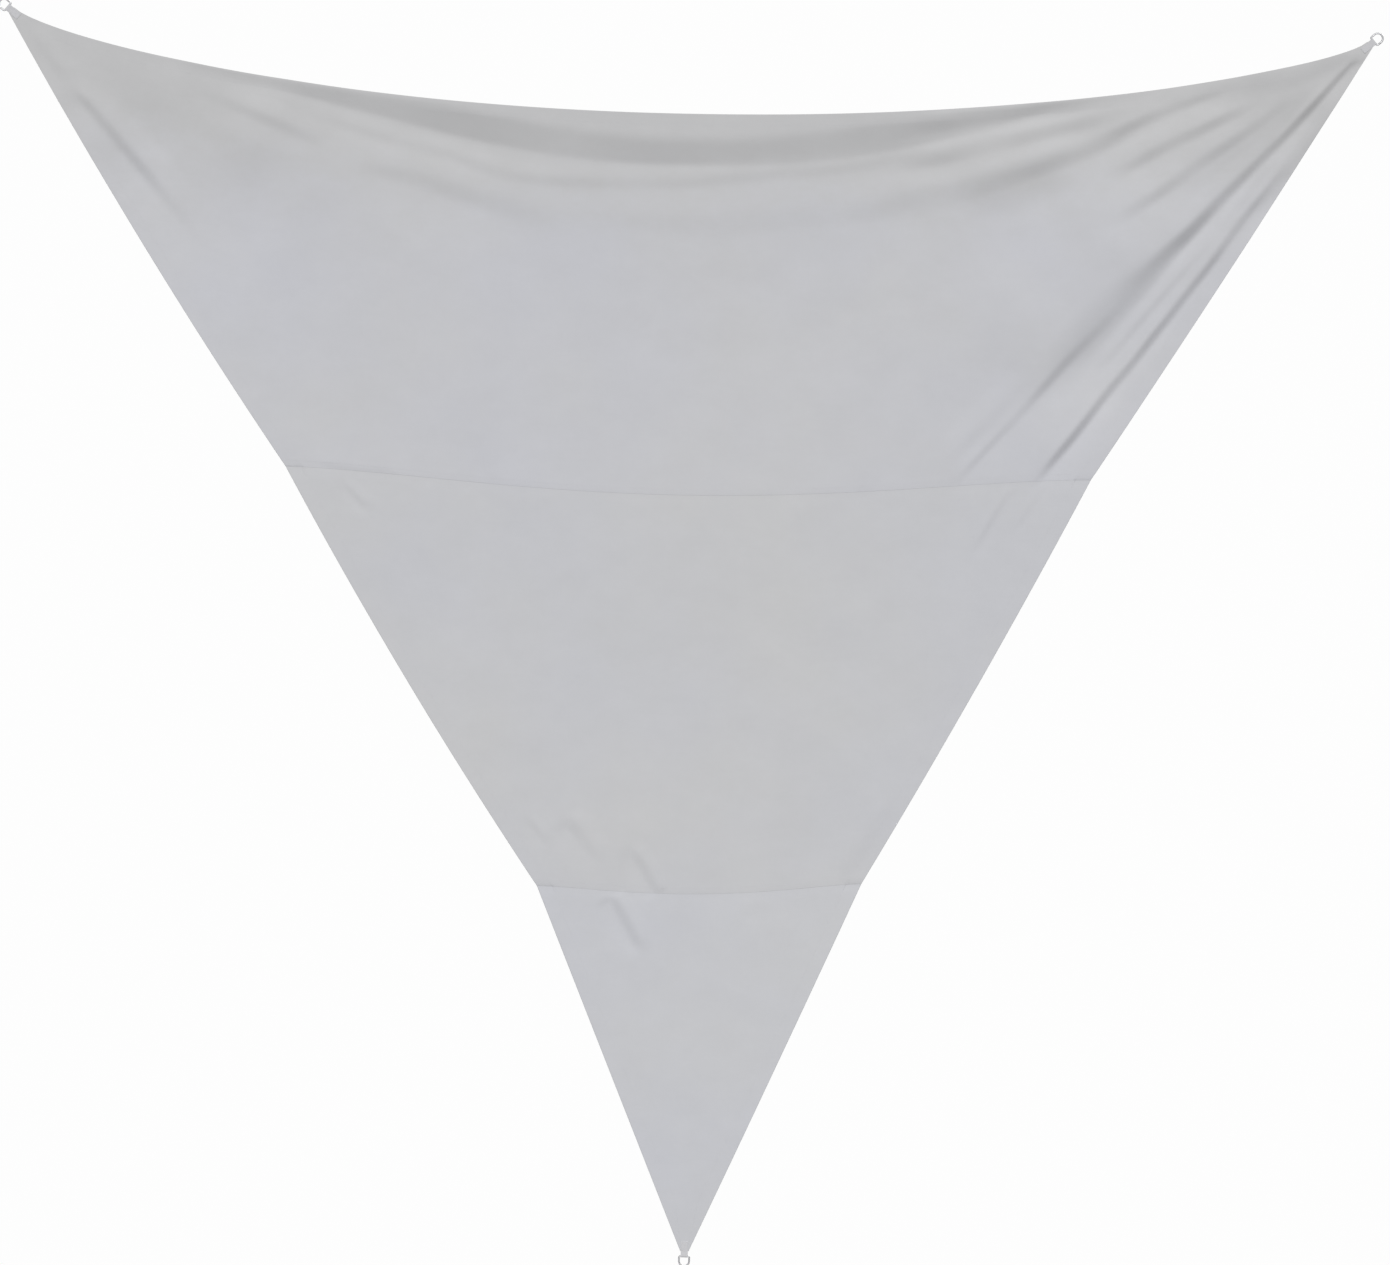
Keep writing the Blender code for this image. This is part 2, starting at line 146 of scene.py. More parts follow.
# Folds, each along a line through three points (x, z) from left to right. Across the line the cloth turns
# in by this slope, over this width at the three points. It leans out to the line over above times the
# width, and out again over below times the width. fade is the share of the length over which the fold grows
# at the left and dies out at the right.
Fold = namedtuple("Fold", "left middle right slope width above below fade", defaults=(1.0, 1.0, (0.3, 0.3)))
FOLDS = (
    # swags under the upper edge
    Fold((1.509, -0.514), (2.43, -0.628), (3.883, -0.39), 0.12, (0.04, 0.05, 0.035), 1.0, 2.0, (0.15, 0.1)),
    Fold((1.97, -0.738), (2.537, -0.773), (3.175, -0.713), 0.06, (0.07, 0.09, 0.07), 1.5, 3.0),
    Fold((1.208, -0.553), (1.587, -0.656), (2.034, -0.798), 0.17,
         (0.05, 0.09, 0.12), 1.6, 2.5, (0.22, 0.35)),
    Fold((0.641, -0.284), (0.893, -0.394), (1.144, -0.5), 0.2, (0.035, 0.05, 0.035), 1.2, 1.5, (0.4, 0.22)),
    Fold((2.997, -0.762), (3.653, -0.575), (4.174, -0.366), 0.37, (0.12, 0.1, 0.05), 3.0, 4.0, (0.5, 0.3)),
    Fold((3.83, -0.5), (4.096, -0.39), (4.369, -0.291), 0.34, (0.045, 0.05, 0.03), 1.5, 1.5, (0.5, 0.35)),
    # the fan at the upper right corner, from its highest fold down, and its outer edge
    Fold((3.876, -0.631), (4.191, -0.475), (4.493, -0.32), 0.46,
         (0.048, 0.055, 0.035), 1.5, 2.0, (0.28, 0.35)),
    Fold((3.876, -0.816), (4.216, -0.585), (4.599, -0.312), 0.42,
         (0.06, 0.056, 0.035), 1.5, 2.5, (0.35, 0.35)),
    Fold((3.919, -1.078), (4.379, -0.631), (4.829, -0.16), 0.68,
         (0.08, 0.054, 0.025), 4.5, 1.5, (0.28, 0.03)),
    Fold((3.557, -1.453), (3.904, -1.124), (4.252, -0.794), 0.33, (0.14, 0.2, 0.09), 2.5, 1.2, (0.4, 0.3)),
    Fold((3.345, -1.737), (3.741, -1.297), (4.06, -0.979), 0.56,
         (0.03, 0.044, 0.045), 2.5, 2.5, (0.14, 0.6)),
    Fold((3.621, -1.737), (4.078, -1.173), (4.563, -0.539), 0.82,
         (0.035, 0.05, 0.036), 1.8, 2.0, (0.12, 0.15)),
    Fold((3.812, -1.386), (4.06, -1.092), (4.379, -0.723), 0.44, (0.04, 0.04, 0.03)),
    Fold((3.338, -1.652), (3.479, -1.489), (3.649, -1.297), 0.3, (0.045, 0.06, 0.04), fade=(0.3, 0.35)),
    Fold((4.315, -0.915), (4.57, -0.553), (4.79, -0.256), 0.4, (0.05, 0.08, 0.05), 0.8, 0.6, (0.35, 0.3)),
    # beside the upper right corner
    Fold((3.883, -0.369), (4.457, -0.284), (4.776, -0.185), 0.2, (0.07, 0.1, 0.03), 1.0, 1.5, (0.4, 0.05)),
    # the left side and corner
    Fold((0.227, -0.291), (0.439, -0.529), (0.765, -0.922), 0.48,
         (0.035, 0.055, 0.045), 1.5, 2.0, (0.18, 0.45)),
    Fold((0.085, -0.072), (0.156, -0.185), (0.262, -0.327), 0.16, (0.02, 0.05, 0.04), 1.0, 1.5, (0.2, 0.4)),
    Fold((0.163, -0.128), (0.818, -0.5), (1.545, -0.784), 0.15, (0.1, 0.36, 0.3), 1.0, 1.5, (0.35, 0.45)),
    # the right ends of the swags
    Fold((3.068, -0.589), (3.564, -0.49), (4.06, -0.348), 0.29, (0.04, 0.06, 0.045), 0.8, 1.2),
    Fold((3.352, -0.734), (3.582, -0.667), (3.883, -0.578), 0.22,
         (0.12, 0.17, 0.1), 1.5, 3.0, (0.45, 0.35)),
    # broad soft shading under the fan and the swags, and the middle of the fan's main fold
    Fold((4.06, -0.695), (4.415, -0.465), (4.751, -0.227), 0.24,
         (0.14, 0.22, 0.08), 1.0, 1.2, (0.35, 0.35)),
    Fold((3.564, -1.475), (3.989, -1.021), (4.556, -0.483), 0.11,
         (0.22, 0.28, 0.15), 1.5, 1.5, (0.35, 0.35)),
    Fold((3.281, -0.915), (3.635, -0.819), (3.989, -0.66), 0.07, (0.2, 0.3, 0.2), 1.0, 1.5, (0.4, 0.4)),
    Fold((4.113, -0.89), (4.337, -0.67), (4.592, -0.405), 0.22, (0.05, 0.055, 0.03), 1.0, 0.8, (0.4, 0.4)),
    # short folds under the brow
    Fold((3.104, -0.465), (3.476, -0.401), (3.876, -0.344), 0.17,
         (0.045, 0.06, 0.03), 0.5, 1.5, (0.35, 0.3)),
    Fold((1.084, -0.383), (1.403, -0.486), (1.828, -0.585), 0.13, (0.03, 0.04, 0.04)),
    Fold((2.948, -0.745), (3.132, -0.713), (3.309, -0.656), 0.13,
         (0.05, 0.1, 0.06), 1.0, 2.0, (0.35, 0.35)),
    # at the upper seam
    Fold((1.042, -1.613), (1.226, -1.641), (1.431, -1.666), 0.14, (0.02, 0.02, 0.02)),
    Fold((1.201, -1.694), (1.251, -1.747), (1.304, -1.804), 0.2, (0.025, 0.03, 0.03), fade=(0.1, 0.35)),
    Fold((3.423, -1.978), (3.493, -1.847), (3.575, -1.712), 0.28,
         (0.03, 0.03, 0.025), 1.0, 1.2, (0.35, 0.05)),
    Fold((3.575, -1.871), (3.632, -1.79), (3.685, -1.705), 0.22,
         (0.025, 0.025, 0.02), 1.0, 1.2, (0.35, 0.05)),
    # creases at the lower seam
    Fold((1.846, -2.881), (1.888, -2.931), (1.931, -2.984), 0.15, (0.03, 0.03, 0.03)),
    Fold((1.988, -2.878), (2.051, -2.966), (2.122, -3.055), 0.26,
         (0.045, 0.055, 0.045), 1.0, 1.5, (0.2, 0.25)),
    Fold((2.211, -2.977), (2.264, -3.065), (2.321, -3.154), 0.3,
         (0.035, 0.048, 0.035), 0.8, 1.5, (0.25, 0.05)),
    Fold((2.151, -3.161), (2.207, -3.26), (2.268, -3.377), 0.34,
         (0.04, 0.055, 0.045), 0.8, 1.5, (0.05, 0.25)),
    Fold((2.593, -3.235), (2.65, -3.214), (2.707, -3.189), 0.09, (0.03, 0.045, 0.035)),
    Fold((2.99, -3.104), (3.068, -2.956), (3.15, -2.81), 0.12,
         (0.04, 0.065, 0.045), 0.7, 1.0, (0.15, 0.35)),
)
FOLD_STEPS = 40
FOLD_VARIES = 0.22  # the distance over which a fold strays from its line and grows or weakens
FOLD_STRAYS = 0.010
FOLD_UNEVEN = 0.6
FOLD_SEEDS = (3.7, 9.1)  # for its straying and for its unevenness

# The sewn lines draw the cloth into small puckers, which die out away from the thread
PUCKER_HEIGHT = 0.0007
PUCKER_LENGTH = 0.075
PUCKER_REACH = 0.050
PUCKER_LINES = (-HEM_ACROSS, 0.015, 0.015)  # the thread's rise above the upper edge and the two seams
PUCKER_SEED = 11.7  # times the number of its line
SIDE_PUCKER_SEED = 50.3

# The brow: the slack upper edge leans out, so that the cloth under its hem turns in and down to a line that
# drops BROW_DROP below the edge in the middle and less to both sides. Below the line it comes out again.
BROW_DROP = 0.160
BROW_LEAST = 0.018
BROW_CENTRE = 2.42
BROW_SPREAD = 1.12
BROW_POWER = 2.6
BROW_SLOPE = 0.31
BROW_UNEVEN = 0.3
BROW_VARIES = 0.28
BROW_SEED = 4.4
BROW_ENDS = (0.35, 0.95, 3.75, 4.15)  # where it starts, is full, is full still and ends

# From the edge to where the brow turns in, and from there to where it has its slope, both in the middle,
# and the powers of its drop by which they get less to both sides
BROW_START = 0.035
BROW_START_POWER = 5
BROW_GROWN = 0.050
BROW_GROWN_POWER = 1.5

# Half the width of the turn at the line, and the share of the drop that it takes at most. Then the height
# over which the cloth comes out again in the middle, and what is added to that everywhere.
BROW_TURN = 0.012
BROW_TURN_MOST = 0.3
BROW_RETURN = 1.2
BROW_RETURN_LEAST = 0.1

# Unevenness of the hanging cloth: the length of its waves and their height
Wave = namedtuple("Wave", "length height")
WAVES = (Wave(0.55, 0.0040), Wave(0.21, 0.0010))
WAVE_SEED = 7.3

# Webbing loops: the shares of a leg, and of its rise to the bar, where the tape has points
LEG_SHARES = (1.0, 0.8, 0.6, 0.4, 0.2, 0.0)
RISE_SHARES = (0.15, 0.3, 0.45, 0.6, 0.75, 0.9)
TAPE_COLUMNS = 8
TAPE_BEVEL = 0.00045
TAPE_FOLD_STEPS = 14
BOX_INSET = 0.003  # from the tape's edges to the thread
BOX_FROM_TIP = 0.002  # from the cut tip of the cloth to the thread

# Rings
WIRE_POINTS = 28
BAR_BEND = 0.006  # radius of the wire's bends at the ends of the straight bar
BEND_STEPS = 8
ROUND_STEPS = 32
WELD_LENGTH = 0.003
WELD_STEPS = 5
WELD_RISE = 1.07  # how much the weld swells the wire at its end, and then at its middle
WELD_CROWN = 1.035
SPIN_SIGN = -1.0  # a negative angle of spin turns from +X towards +Y
MERGE = 0.00005  # points of the wire nearer than this become one

# Materials
RIB = 0.0052  # two ribs of the webbing
YARN = 0.0011
WARM_TINT = (1.004, 0.998, 0.965)  # what sets the cloth's warm areas apart from its cool ones

# Near the slack upper edge the cloth is made a little less blue, and round the two upper corners it is
# painted darker, as painted shade. The numbers are how far the change goes there, and how far from the edge
# or the ring it starts to fade and ends.
UPPER_EDGE_TINT = (0.546, 0.546, 0.551, 1.0)
UPPER_EDGE_TINT_FADE = (0.9, 0.25, 0.75)
CORNER_PAINTED_SHADE = (0.505, 0.505, 0.510, 1.0)
CORNER_PAINTED_SHADE_FADE = (0.5, 0.35, 1.5)

# The stage
FRAME_WIDTH = 4.925  # what the picture takes in across, at the plane of the eyes
FRAME_CENTRE = Vector((2.448, 0.0, -2.2275))
KEY_FROM = Vector((0.0, -0.937, 0.35))  # the direction of the light in front, as seen from the sail
BACK_FROM = Vector((0.35, 0.85, 0.45))
LIGHT_DISTANCE = 12.0
FLOOR_RADIUS = 9.0
FLOOR_SIDES = 96
FLOOR_GREY = (0.86, 0.86, 0.86, 1.0)
FLOOR_GLOW = 0.25
WORLD_LOOK = 0.985  # how light the world looks to the camera
SENSOR = 36.0
WHITE = (1.0, 1.0, 1.0, 1.0)


# ---------------------------------------------------------------- the sizes that a user would change


class ShadeSailCloth(bpy.types.PropertyGroup):
    fold_scale: FloatProperty(
        name="Fold height", description="Height of every fold, as a share of the modelled one",
        default=1.0, min=0.0,
    )
    unevenness: FloatProperty(
        name="Unevenness", description="Height of the soft waves, as a share of the modelled one",
        default=1.0, min=0.0,
    )
    thread: FloatProperty(
        name="Thread pitch", description="Distance between the threads of the weave",
        default=0.0011, subtype="DISTANCE",
    )
    colour: FloatVectorProperty(
        name="Cloth colour", description="Colour of the woven cloth",
        default=(0.545, 0.552, 0.580), subtype="COLOR",
    )


class ShadeSailStitching(bpy.types.PropertyGroup):
    pitch: FloatProperty(
        name="Stitch pitch", description="From the start of one stitch to the next",
        default=0.0052, subtype="DISTANCE",
    )
    length: FloatProperty(
        name="Stitch length", description="Length of the thread that shows",
        default=0.0040, subtype="DISTANCE",
    )
    thread: FloatProperty(
        name="Thread", description="Thickness of the sewing thread", default=0.0007, subtype="DISTANCE"
    )
    colour: FloatVectorProperty(
        name="Thread colour", description="Colour of the sewing thread",
        default=(0.56, 0.565, 0.59), subtype="COLOR",
    )


class ShadeSailFittings(bpy.types.PropertyGroup):
    tape_width: FloatProperty(
        name="Tape width", description="Width of the webbing loops", default=0.025, subtype="DISTANCE"
    )
    tape: FloatProperty(
        name="Tape thickness", description="Thickness of one layer of webbing",
        default=0.0012, subtype="DISTANCE",
    )
    tape_on_cloth: FloatProperty(
        name="Tape on cloth", description="How far each leg runs on over the cloth",
        default=0.034, subtype="DISTANCE",
    )
    tape_colour: FloatVectorProperty(
        name="Tape colour", description="Colour of the webbing", default=(0.62, 0.62, 0.64), subtype="COLOR"
    )
    wire: FloatProperty(
        name="Wire", description="Diameter of the ring's wire", default=0.006, subtype="DISTANCE"
    )
    eye: FloatProperty(
        name="Eye", description="Width and length of the ring's opening", default=0.030, subtype="DISTANCE"
    )
    steel: FloatVectorProperty(
        name="Steel", description="Colour of the rings", default=(0.47, 0.47, 0.485), subtype="COLOR"
    )


class ShadeSailStage(bpy.types.PropertyGroup):
    camera_distance: FloatProperty(
        name="Camera distance", description="From the camera to the plane of the eyes",
        default=16.0, subtype="DISTANCE",
    )
    floor_drop: FloatProperty(
        name="Floor", description="How far the floor lies below the lowest ring",
        default=1.7, subtype="DISTANCE",
    )
    key: FloatProperty(name="Key light", description="Strength of the light in front", default=3.0)
    back: FloatProperty(name="Back light", description="Strength of the light behind", default=2.2)
    ambient: FloatProperty(name="Ambient", description="Strength of the light from all round", default=0.09)
    softness: FloatProperty(
        name="Softness", description="Angle that each light takes in, as seen from the sail",
        default=radians(20), subtype="ANGLE"
    )


# ---------------------------------------------------------------- the shape of the cloth


def smooth_step(share):
    share = np.clip(share, 0.0, 1.0)
    return share * share * (3.0 - 2.0 * share)


def through_three(share, first, middle, last):
    """The quadratic that is first at share 0, middle at 0.5 and last at 1."""
    return (
        first * (2 * share - 1) * (share - 1)
        + middle * 4 * share * (1 - share)
        + last * share * (2 * share - 1)
    )


def ramp(share):
    """The area under smooth_step from 0 to share."""
    inside = np.clip(share, 0.0, 1.0)
    return np.where(share < 1.0, inside**3 - inside**4 / 2, share - 0.5)


def line_height(line, x):
    """The height z of a sewn line or edge at x."""
    share = np.clip((x - line.left[0]) / (line.right[0] - line.left[0]), 0.0, 1.0)
    hang = line.sag * (4 * share * (1 - share)) ** line.power * (1 + line.lean * (1 - 2 * share))
    return line.left[1] + (line.right[1] - line.left[1]) * share - hang


def brow_depth(x, z):
    """How far the cloth under the slack upper edge turns in."""
    upper_edge = sewn_lines()[0][0]
    below = line_height(upper_edge, x) - z
    drop = BROW_LEAST + BROW_DROP * np.exp(-((np.abs(x - BROW_CENTRE) / BROW_SPREAD) ** BROW_POWER))
    start = BROW_START * (drop / BROW_DROP) ** BROW_START_POWER
    grown = BROW_GROWN * (drop / BROW_DROP) ** BROW_GROWN_POWER
    turn = np.minimum(BROW_TURN, BROW_TURN_MOST * drop)
    depth = grown * ramp((below - start) / grown) - 2 * turn * ramp((below - drop + turn) / (2 * turn))
    comes_out = BROW_RETURN * drop / BROW_DROP + BROW_RETURN_LEAST
    depth = depth * (1.0 - smooth_step((below - drop) / comes_out))
    first, full, still, last = BROW_ENDS
    strength = smooth_step((x - first) / (full - first)) * smooth_step((last - x) / (last - still))
    return BROW_SLOPE * depth * strength * (1.0 + BROW_UNEVEN * noise_along(x / BROW_VARIES, BROW_SEED))


def fold_rise(fold, x, z):
    """The fold's height towards the viewer at points (x, z)."""
    shares = np.linspace(0.0, 1.0, FOLD_STEPS + 1)
    line_x = through_three(shares, fold.left[0], fold.middle[0], fold.right[0])
    line_z = through_three(shares, fold.left[1], fold.middle[1], fold.right[1])
    strays, uneven = (
        np.array([noise(Vector((u, v, seed)) / FOLD_VARIES) for u, v in zip(line_x, line_z)])
        for seed in FOLD_SEEDS
    )
    line_z = line_z + FOLD_STRAYS * strays
    nearest = np.full(x.shape, np.inf)
    above = np.zeros(x.shape, dtype=bool)
    share = np.zeros(x.shape)
    for i in range(FOLD_STEPS):
        step_x = line_x[i + 1] - line_x[i]
        step_z = line_z[i + 1] - line_z[i]
        along = ((x - line_x[i]) * step_x + (z - line_z[i]) * step_z) / (step_x**2 + step_z**2)
        along = np.clip(along, 0.0, 1.0)
        off_x = x - line_x[i] - along * step_x
        off_z = z - line_z[i] - along * step_z
        distance = np.hypot(off_x, off_z)
        closer = distance < nearest
        nearest = np.where(closer, distance, nearest)
        above = np.where(closer, step_x * off_z - step_z * off_x > 0, above)
        share = np.where(closer, (i + along) / FOLD_STEPS, share)
    width = through_three(share, *fold.width)
    half = fold.slope * width / pi
    tail = np.where(above, fold.above, fold.below) * width
    section = np.sin(pi * np.clip(nearest / width, 0.0, 0.5))
    section = section * (1.0 - smooth_step((nearest - width / 2) / tail))
    strength = smooth_step(share / fold.fade[0]) * smooth_step((1.0 - share) / fold.fade[1])
    strength = strength * (1.0 + FOLD_UNEVEN * np.interp(share, shares, uneven))
    return np.where(above, half, -half) * section * strength


def belly_depth(x, z):
    """The hollow of the whole sail: 0 along the straight lines between the eyes, BELLY at their middle."""
    a, b, c = CORNERS
    double_area = (b.z - c.z) * (a.x - c.x) + (c.x - b.x) * (a.z - c.z)
    near_a = ((b.z - c.z) * (x - c.x) + (c.x - b.x) * (z - c.z)) / double_area
    near_b = ((c.z - a.z) * (x - c.x) + (a.x - c.x) * (z - c.z)) / double_area
    near_c = 1.0 - near_a - near_b
    return BELLY * BELLY_MIDDLE * np.maximum(near_a * near_b * near_c, 0.0)


def wave_depth(x, z):
    """The soft unevenness of cloth that hangs free."""
    depth = np.zeros(x.shape)
    places = list(zip(x.ravel(), z.ravel()))
    for index, wave in enumerate(WAVES):
        at = [noise(Vector((u / wave.length, v / wave.length, WAVE_SEED * index))) for u, v in places]
        depth += wave.height * np.array(at).reshape(x.shape)
    return depth


def cut_ends(corner):
    """The two ends (x, z) of the cut tip of the cloth, the one to the left of the pull first."""
    pull = np.array((cos(radians(corner.pull_deg)), sin(radians(corner.pull_deg))))
    left_of_pull = np.array((-pull[1], pull[0]))
    tip = np.array((corner.x, corner.z)) - EYE_TO_CLOTH * pull
    return tip + left_of_pull * TIP_WIDTH / 2, tip - left_of_pull * TIP_WIDTH / 2


def sewn_lines():
    """The four lines across the sail, down to its lower corner's cut, and where the side edges start."""
    left_below, left_above = cut_ends(TOP_LEFT)
    right_above, right_below = cut_ends(TOP_RIGHT)
    foot_right, foot_left = cut_ends(BOTTOM)
    upper_edge = Line(left_above, right_above, UPPER_EDGE_SAG, UPPER_EDGE_POWER, UPPER_EDGE_LEAN)
    foot = Line(foot_left, foot_right, sag=0.0, power=1.0, lean=0.0)
    return (upper_edge, UPPER_SEAM, LOWER_SEAM, foot), (left_below, right_below)


def side_point(upper, lower, share, bow):
    """A point of a side edge, on a line from upper to lower that bows out by bow, square to itself."""
    upper, lower = np.array(upper), np.array(lower)
    run = lower - upper
    square = np.array((-run[1], run[0])) / hypot(*run)
    return upper + run * share + square * bow * 4 * share * (1 - share)


def row_ends(level):
    """The two ends of the row at this level, its sag, the power of that and its lean."""
    lines, (left_below, right_below) = sewn_lines()
    index = min(int(level), len(PANELS) - 1)
    upper, lower, panel = lines[index], lines[index + 1], PANELS[index]
    share = level - index
    hang = [first + (last - first) * share for first, last in zip(upper[2:], lower[2:])]
    if index > 0:
        left = side_point(upper.left, lower.left, share, -panel.bow_left)
        right = side_point(upper.right, lower.right, share, panel.bow_right)
    elif level < CORNER_CUT_LEVEL:
        left = side_point(upper.left, left_below, level / CORNER_CUT_LEVEL, 0.0)
        right = side_point(upper.right, right_below, level / CORNER_CUT_LEVEL, 0.0)
    else:
        share = (level - CORNER_CUT_LEVEL) / (1.0 - CORNER_CUT_LEVEL)
        left = side_point(left_below, lower.left, share, -panel.bow_left)
        right = side_point(right_below, lower.right, share, panel.bow_right)
    return left, right, hang


def hem_of_row(width):
    """The width of the side hem along a row, and of the step at its inner edge."""
    return min(HEM_ACROSS, HEM_MOST * width), min(HEM_STEP, HEM_STEP_MOST * width)


def row_points(level, across):
    """The points (x, z) of a row, at offsets from its left end."""
    left, right, (sag, power, lean) = row_ends(level)
    width = right[0] - left[0]
    share = across / width
    hang = sag * np.clip(4 * share * (1 - share), 0.0, None) ** power * (1 + lean * (1 - 2 * share))
    return left[0] + across, left[1] + (right[1] - left[1]) * share - hang


def row_width(level):
    left, right, _ = row_ends(level)
    return right[0] - left[0]


def noise_along(along, seed):
    """Smooth noise at places along a line, about -1 to 1."""
    return np.array([noise(Vector((place, seed, 0.0))) for place in along.ravel()]).reshape(along.shape)


def pucker_depth(x, z):
    """The small puckers along the two seams, the upper hem and the side hems."""
    lines, _ = sewn_lines()
    depth = np.zeros(x.shape)

    def puckers(along, seed, off):
        return noise_along(along / PUCKER_LENGTH, seed) * np.exp(-((off / PUCKER_REACH) ** 2))

    for number, (line, rise) in enumerate(zip(lines, PUCKER_LINES)):
        depth += puckers(x, PUCKER_SEED * number, z - line_height(line, x) - rise)
    ends = [row_ends(level) for level in SIDE_LEVELS[::-1]]
    for number, inward in enumerate((1.0, -1.0)):
        side_x, side_z = np.array([end[number] for end in ends]).T
        off = x - np.interp(z, side_z, side_x) - inward * HEM_ACROSS
        depth += puckers(z, SIDE_PUCKER_SEED + PUCKER_SEED * number, off)
    return PUCKER_HEIGHT * depth


def front_y(x, z):
    """The front face of the cloth, less any lap. At the corners the doubled hem is centred on y = 0."""
    settings = bpy.context.scene.shade_sail_cloth
    depth = belly_depth(x, z) + settings.unevenness * (wave_depth(x, z) + pucker_depth(x, z))
    depth = depth + settings.fold_scale * brow_depth(x, z)
    for fold in FOLDS:
        depth = depth - settings.fold_scale * fold_rise(fold, x, z)
    for corner in CORNERS:
        from_eye = np.hypot(x - corner.x, z - corner.z)
        depth = depth * smooth_step((from_eye - FLAT_RADIUS) / (FULL_RADIUS - FLAT_RADIUS))
    return depth - HEM / 2


# ---------------------------------------------------------------- meshes


def unit(vectors):
    return vectors / np.linalg.norm(vectors, axis=1)[:, None]


def add_piece(name, mesh):
    """A new object of the sail, which rides on its one body."""
    piece = bpy.data.objects.new(name, mesh)
    bpy.context.scene.collection.objects.link(piece)
    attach(piece, "root")
    return piece


def deselect_all():
    if bpy.context.object and bpy.context.object.mode != "OBJECT":
        bpy.ops.object.mode_set(mode="OBJECT")
    bpy.ops.object.select_all(action="DESELECT")


def column_offsets(width, count, columns_right):
    """Where a row's columns lie: close together at the hems, and closer at the right by columns_right."""
    hem, step = hem_of_row(width)
    edge = [0.0, EDGE_ROUND, *(at * hem for at in HEM_COLUMNS_AT)]
    edge += [hem - step / 2, hem, hem + step / 2, hem + step]
    share = np.linspace(0.0, 1.0, count - 2 * len(edge) + 2)
    share = share + columns_right * share * (1.0 - share)
    inner = hem + step + share * (width - 2 * (hem + step))
    return np.concatenate((edge[:-1], inner, [width - offset for offset in reversed(edge[:-1])]))


def panel_levels(index):
    """The levels of a panel's rows. A lower panel starts with its lap behind the one above."""
    panel = PANELS[index]
    rounded = EDGE_ROUND / PANEL_DROP
    if index == 0:
        head = [0.0, rounded, CORNER_CUT_LEVEL / 2, CORNER_CUT_LEVEL]
        head += [HEM_LEVEL + row for row in HEM_ROWS]
    else:
        head = [index - LAP, index - LAP + rounded, index - LAP / 2]
        head += [index + row for row in SEAM_ROWS]
    first = head[-1] + ROW_STEP
    last = index + 1 - PRESSED
    foot = [last + PRESSED / 2, index + 1 - rounded, index + 1.0]
    share = np.linspace(0.0, 1.0, panel.rows - len(head) - len(foot))
    share = share - panel.rows_up * share * (1.0 - share)
    return np.concatenate((head, first + share * (last - first), foot))


def pressed_share(rise):
    """How much thinner the cloth is at this rise above a sewn edge, in levels."""
    return PRESSED_BY * smooth_step(1.0 - rise / PRESSED)


def add_cloth(index, material):
    """One panel of cloth: a thin closed sheet with turned hems, its head behind the panel above."""
    panel = PANELS[index]
    levels = panel_levels(index)
    x = np.zeros((len(levels), panel.columns))
    z = np.zeros(x.shape)
    for row, level in enumerate(levels):
        offsets = column_offsets(row_width(level), panel.columns, panel.columns_right)
        x[row], z[row] = row_points(level, offsets)
    hemmed = np.zeros(x.shape)
    hemmed[:, :HEM_COLUMNS] = 1.0
    hemmed[:, -HEM_COLUMNS:] = 1.0
    if index == 0:
        hemmed[levels <= HEM_LEVEL + 1e-6] = 1.0
    thickness = CLOTH + (HEM - CLOTH) * hemmed
    y = front_y(x, z)
    if index < 2:
        pressed = thickness * pressed_share(index + 1 - levels)[:, None]
        y += pressed
        thickness = thickness - pressed
    if index > 0:
        behind = 1.0 - smooth_step((levels - index) / LAP_COMES_FORWARD)
        y += behind[:, None] * (thickness + GAP)
    front = np.stack((x, y, z), axis=2)
    back = np.stack((x, y + thickness, z), axis=2)
    threads = np.stack((x, np.broadcast_to(levels[:, None] * -PANEL_DROP, x.shape)), axis=2)
    mesh = closed_sheet("cloth_" + panel.name, front, back, threads)
    mesh.materials.append(material)
    cloth = add_piece("cloth_" + panel.name, mesh)
    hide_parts(panel.name + "_panel")
    return cloth


def closed_sheet(name, front, back, uv):
    """A closed mesh from two grids of points and a rounded rim between them, with a UV map in metres."""
    rows, columns = front.shape[:2]
    number = np.arange(rows * columns).reshape(rows, columns)
    cells = np.stack((number[:-1, :-1], number[1:, :-1], number[1:, 1:], number[:-1, 1:]), axis=2)
    cells = cells.reshape(-1, 4)
    behind = rows * columns
    border = np.concatenate((number[:, 0], number[-1, 1:], number[-2::-1, -1], number[0, -2:0:-1]))
    inner = np.concatenate((number[:, 1], number[-2, 1:], number[-2::-1, -2], number[1, -2:0:-1]))
    flat_front, flat_back = front.reshape(-1, 3), back.reshape(-1, 3)
    outward = flat_front[border] - flat_front[inner]
    outward[:, 1] = 0.0
    middle = (flat_front[border] + flat_back[border]) / 2
    bulge = np.linalg.norm(flat_back[border] - flat_front[border], axis=1)[:, None] * RIM_BULGE
    rim = middle + unit(outward) * bulge
    points = np.concatenate((flat_front, flat_back, rim))
    rim_number = 2 * behind + np.arange(len(border))
    following = np.roll(border, -1)
    rim_following = np.roll(rim_number, -1)
    to_front = np.stack((border, rim_number, rim_following, following), axis=1)
    to_back = np.stack((rim_number, border + behind, following + behind, rim_following), axis=1)
    faces = np.concatenate((cells, cells[:, ::-1] + behind, to_front, to_back))
    mesh = bpy.data.meshes.new(name)
    mesh.from_pydata(points.tolist(), [], faces.tolist())
    flat_uv = uv.reshape(-1, 2)
    point_uv = np.concatenate((flat_uv, flat_uv, flat_uv[border]))
    corners = np.zeros(len(mesh.loops), dtype=np.int32)
    mesh.loops.foreach_get("vertex_index", corners)
    layer = mesh.uv_layers.new(name="threads")
    layer.data.foreach_set("uv", point_uv[corners].astype(np.float32).ravel())
    mesh.shade_smooth()
    return mesh


# ---------------------------------------------------------------- stitching


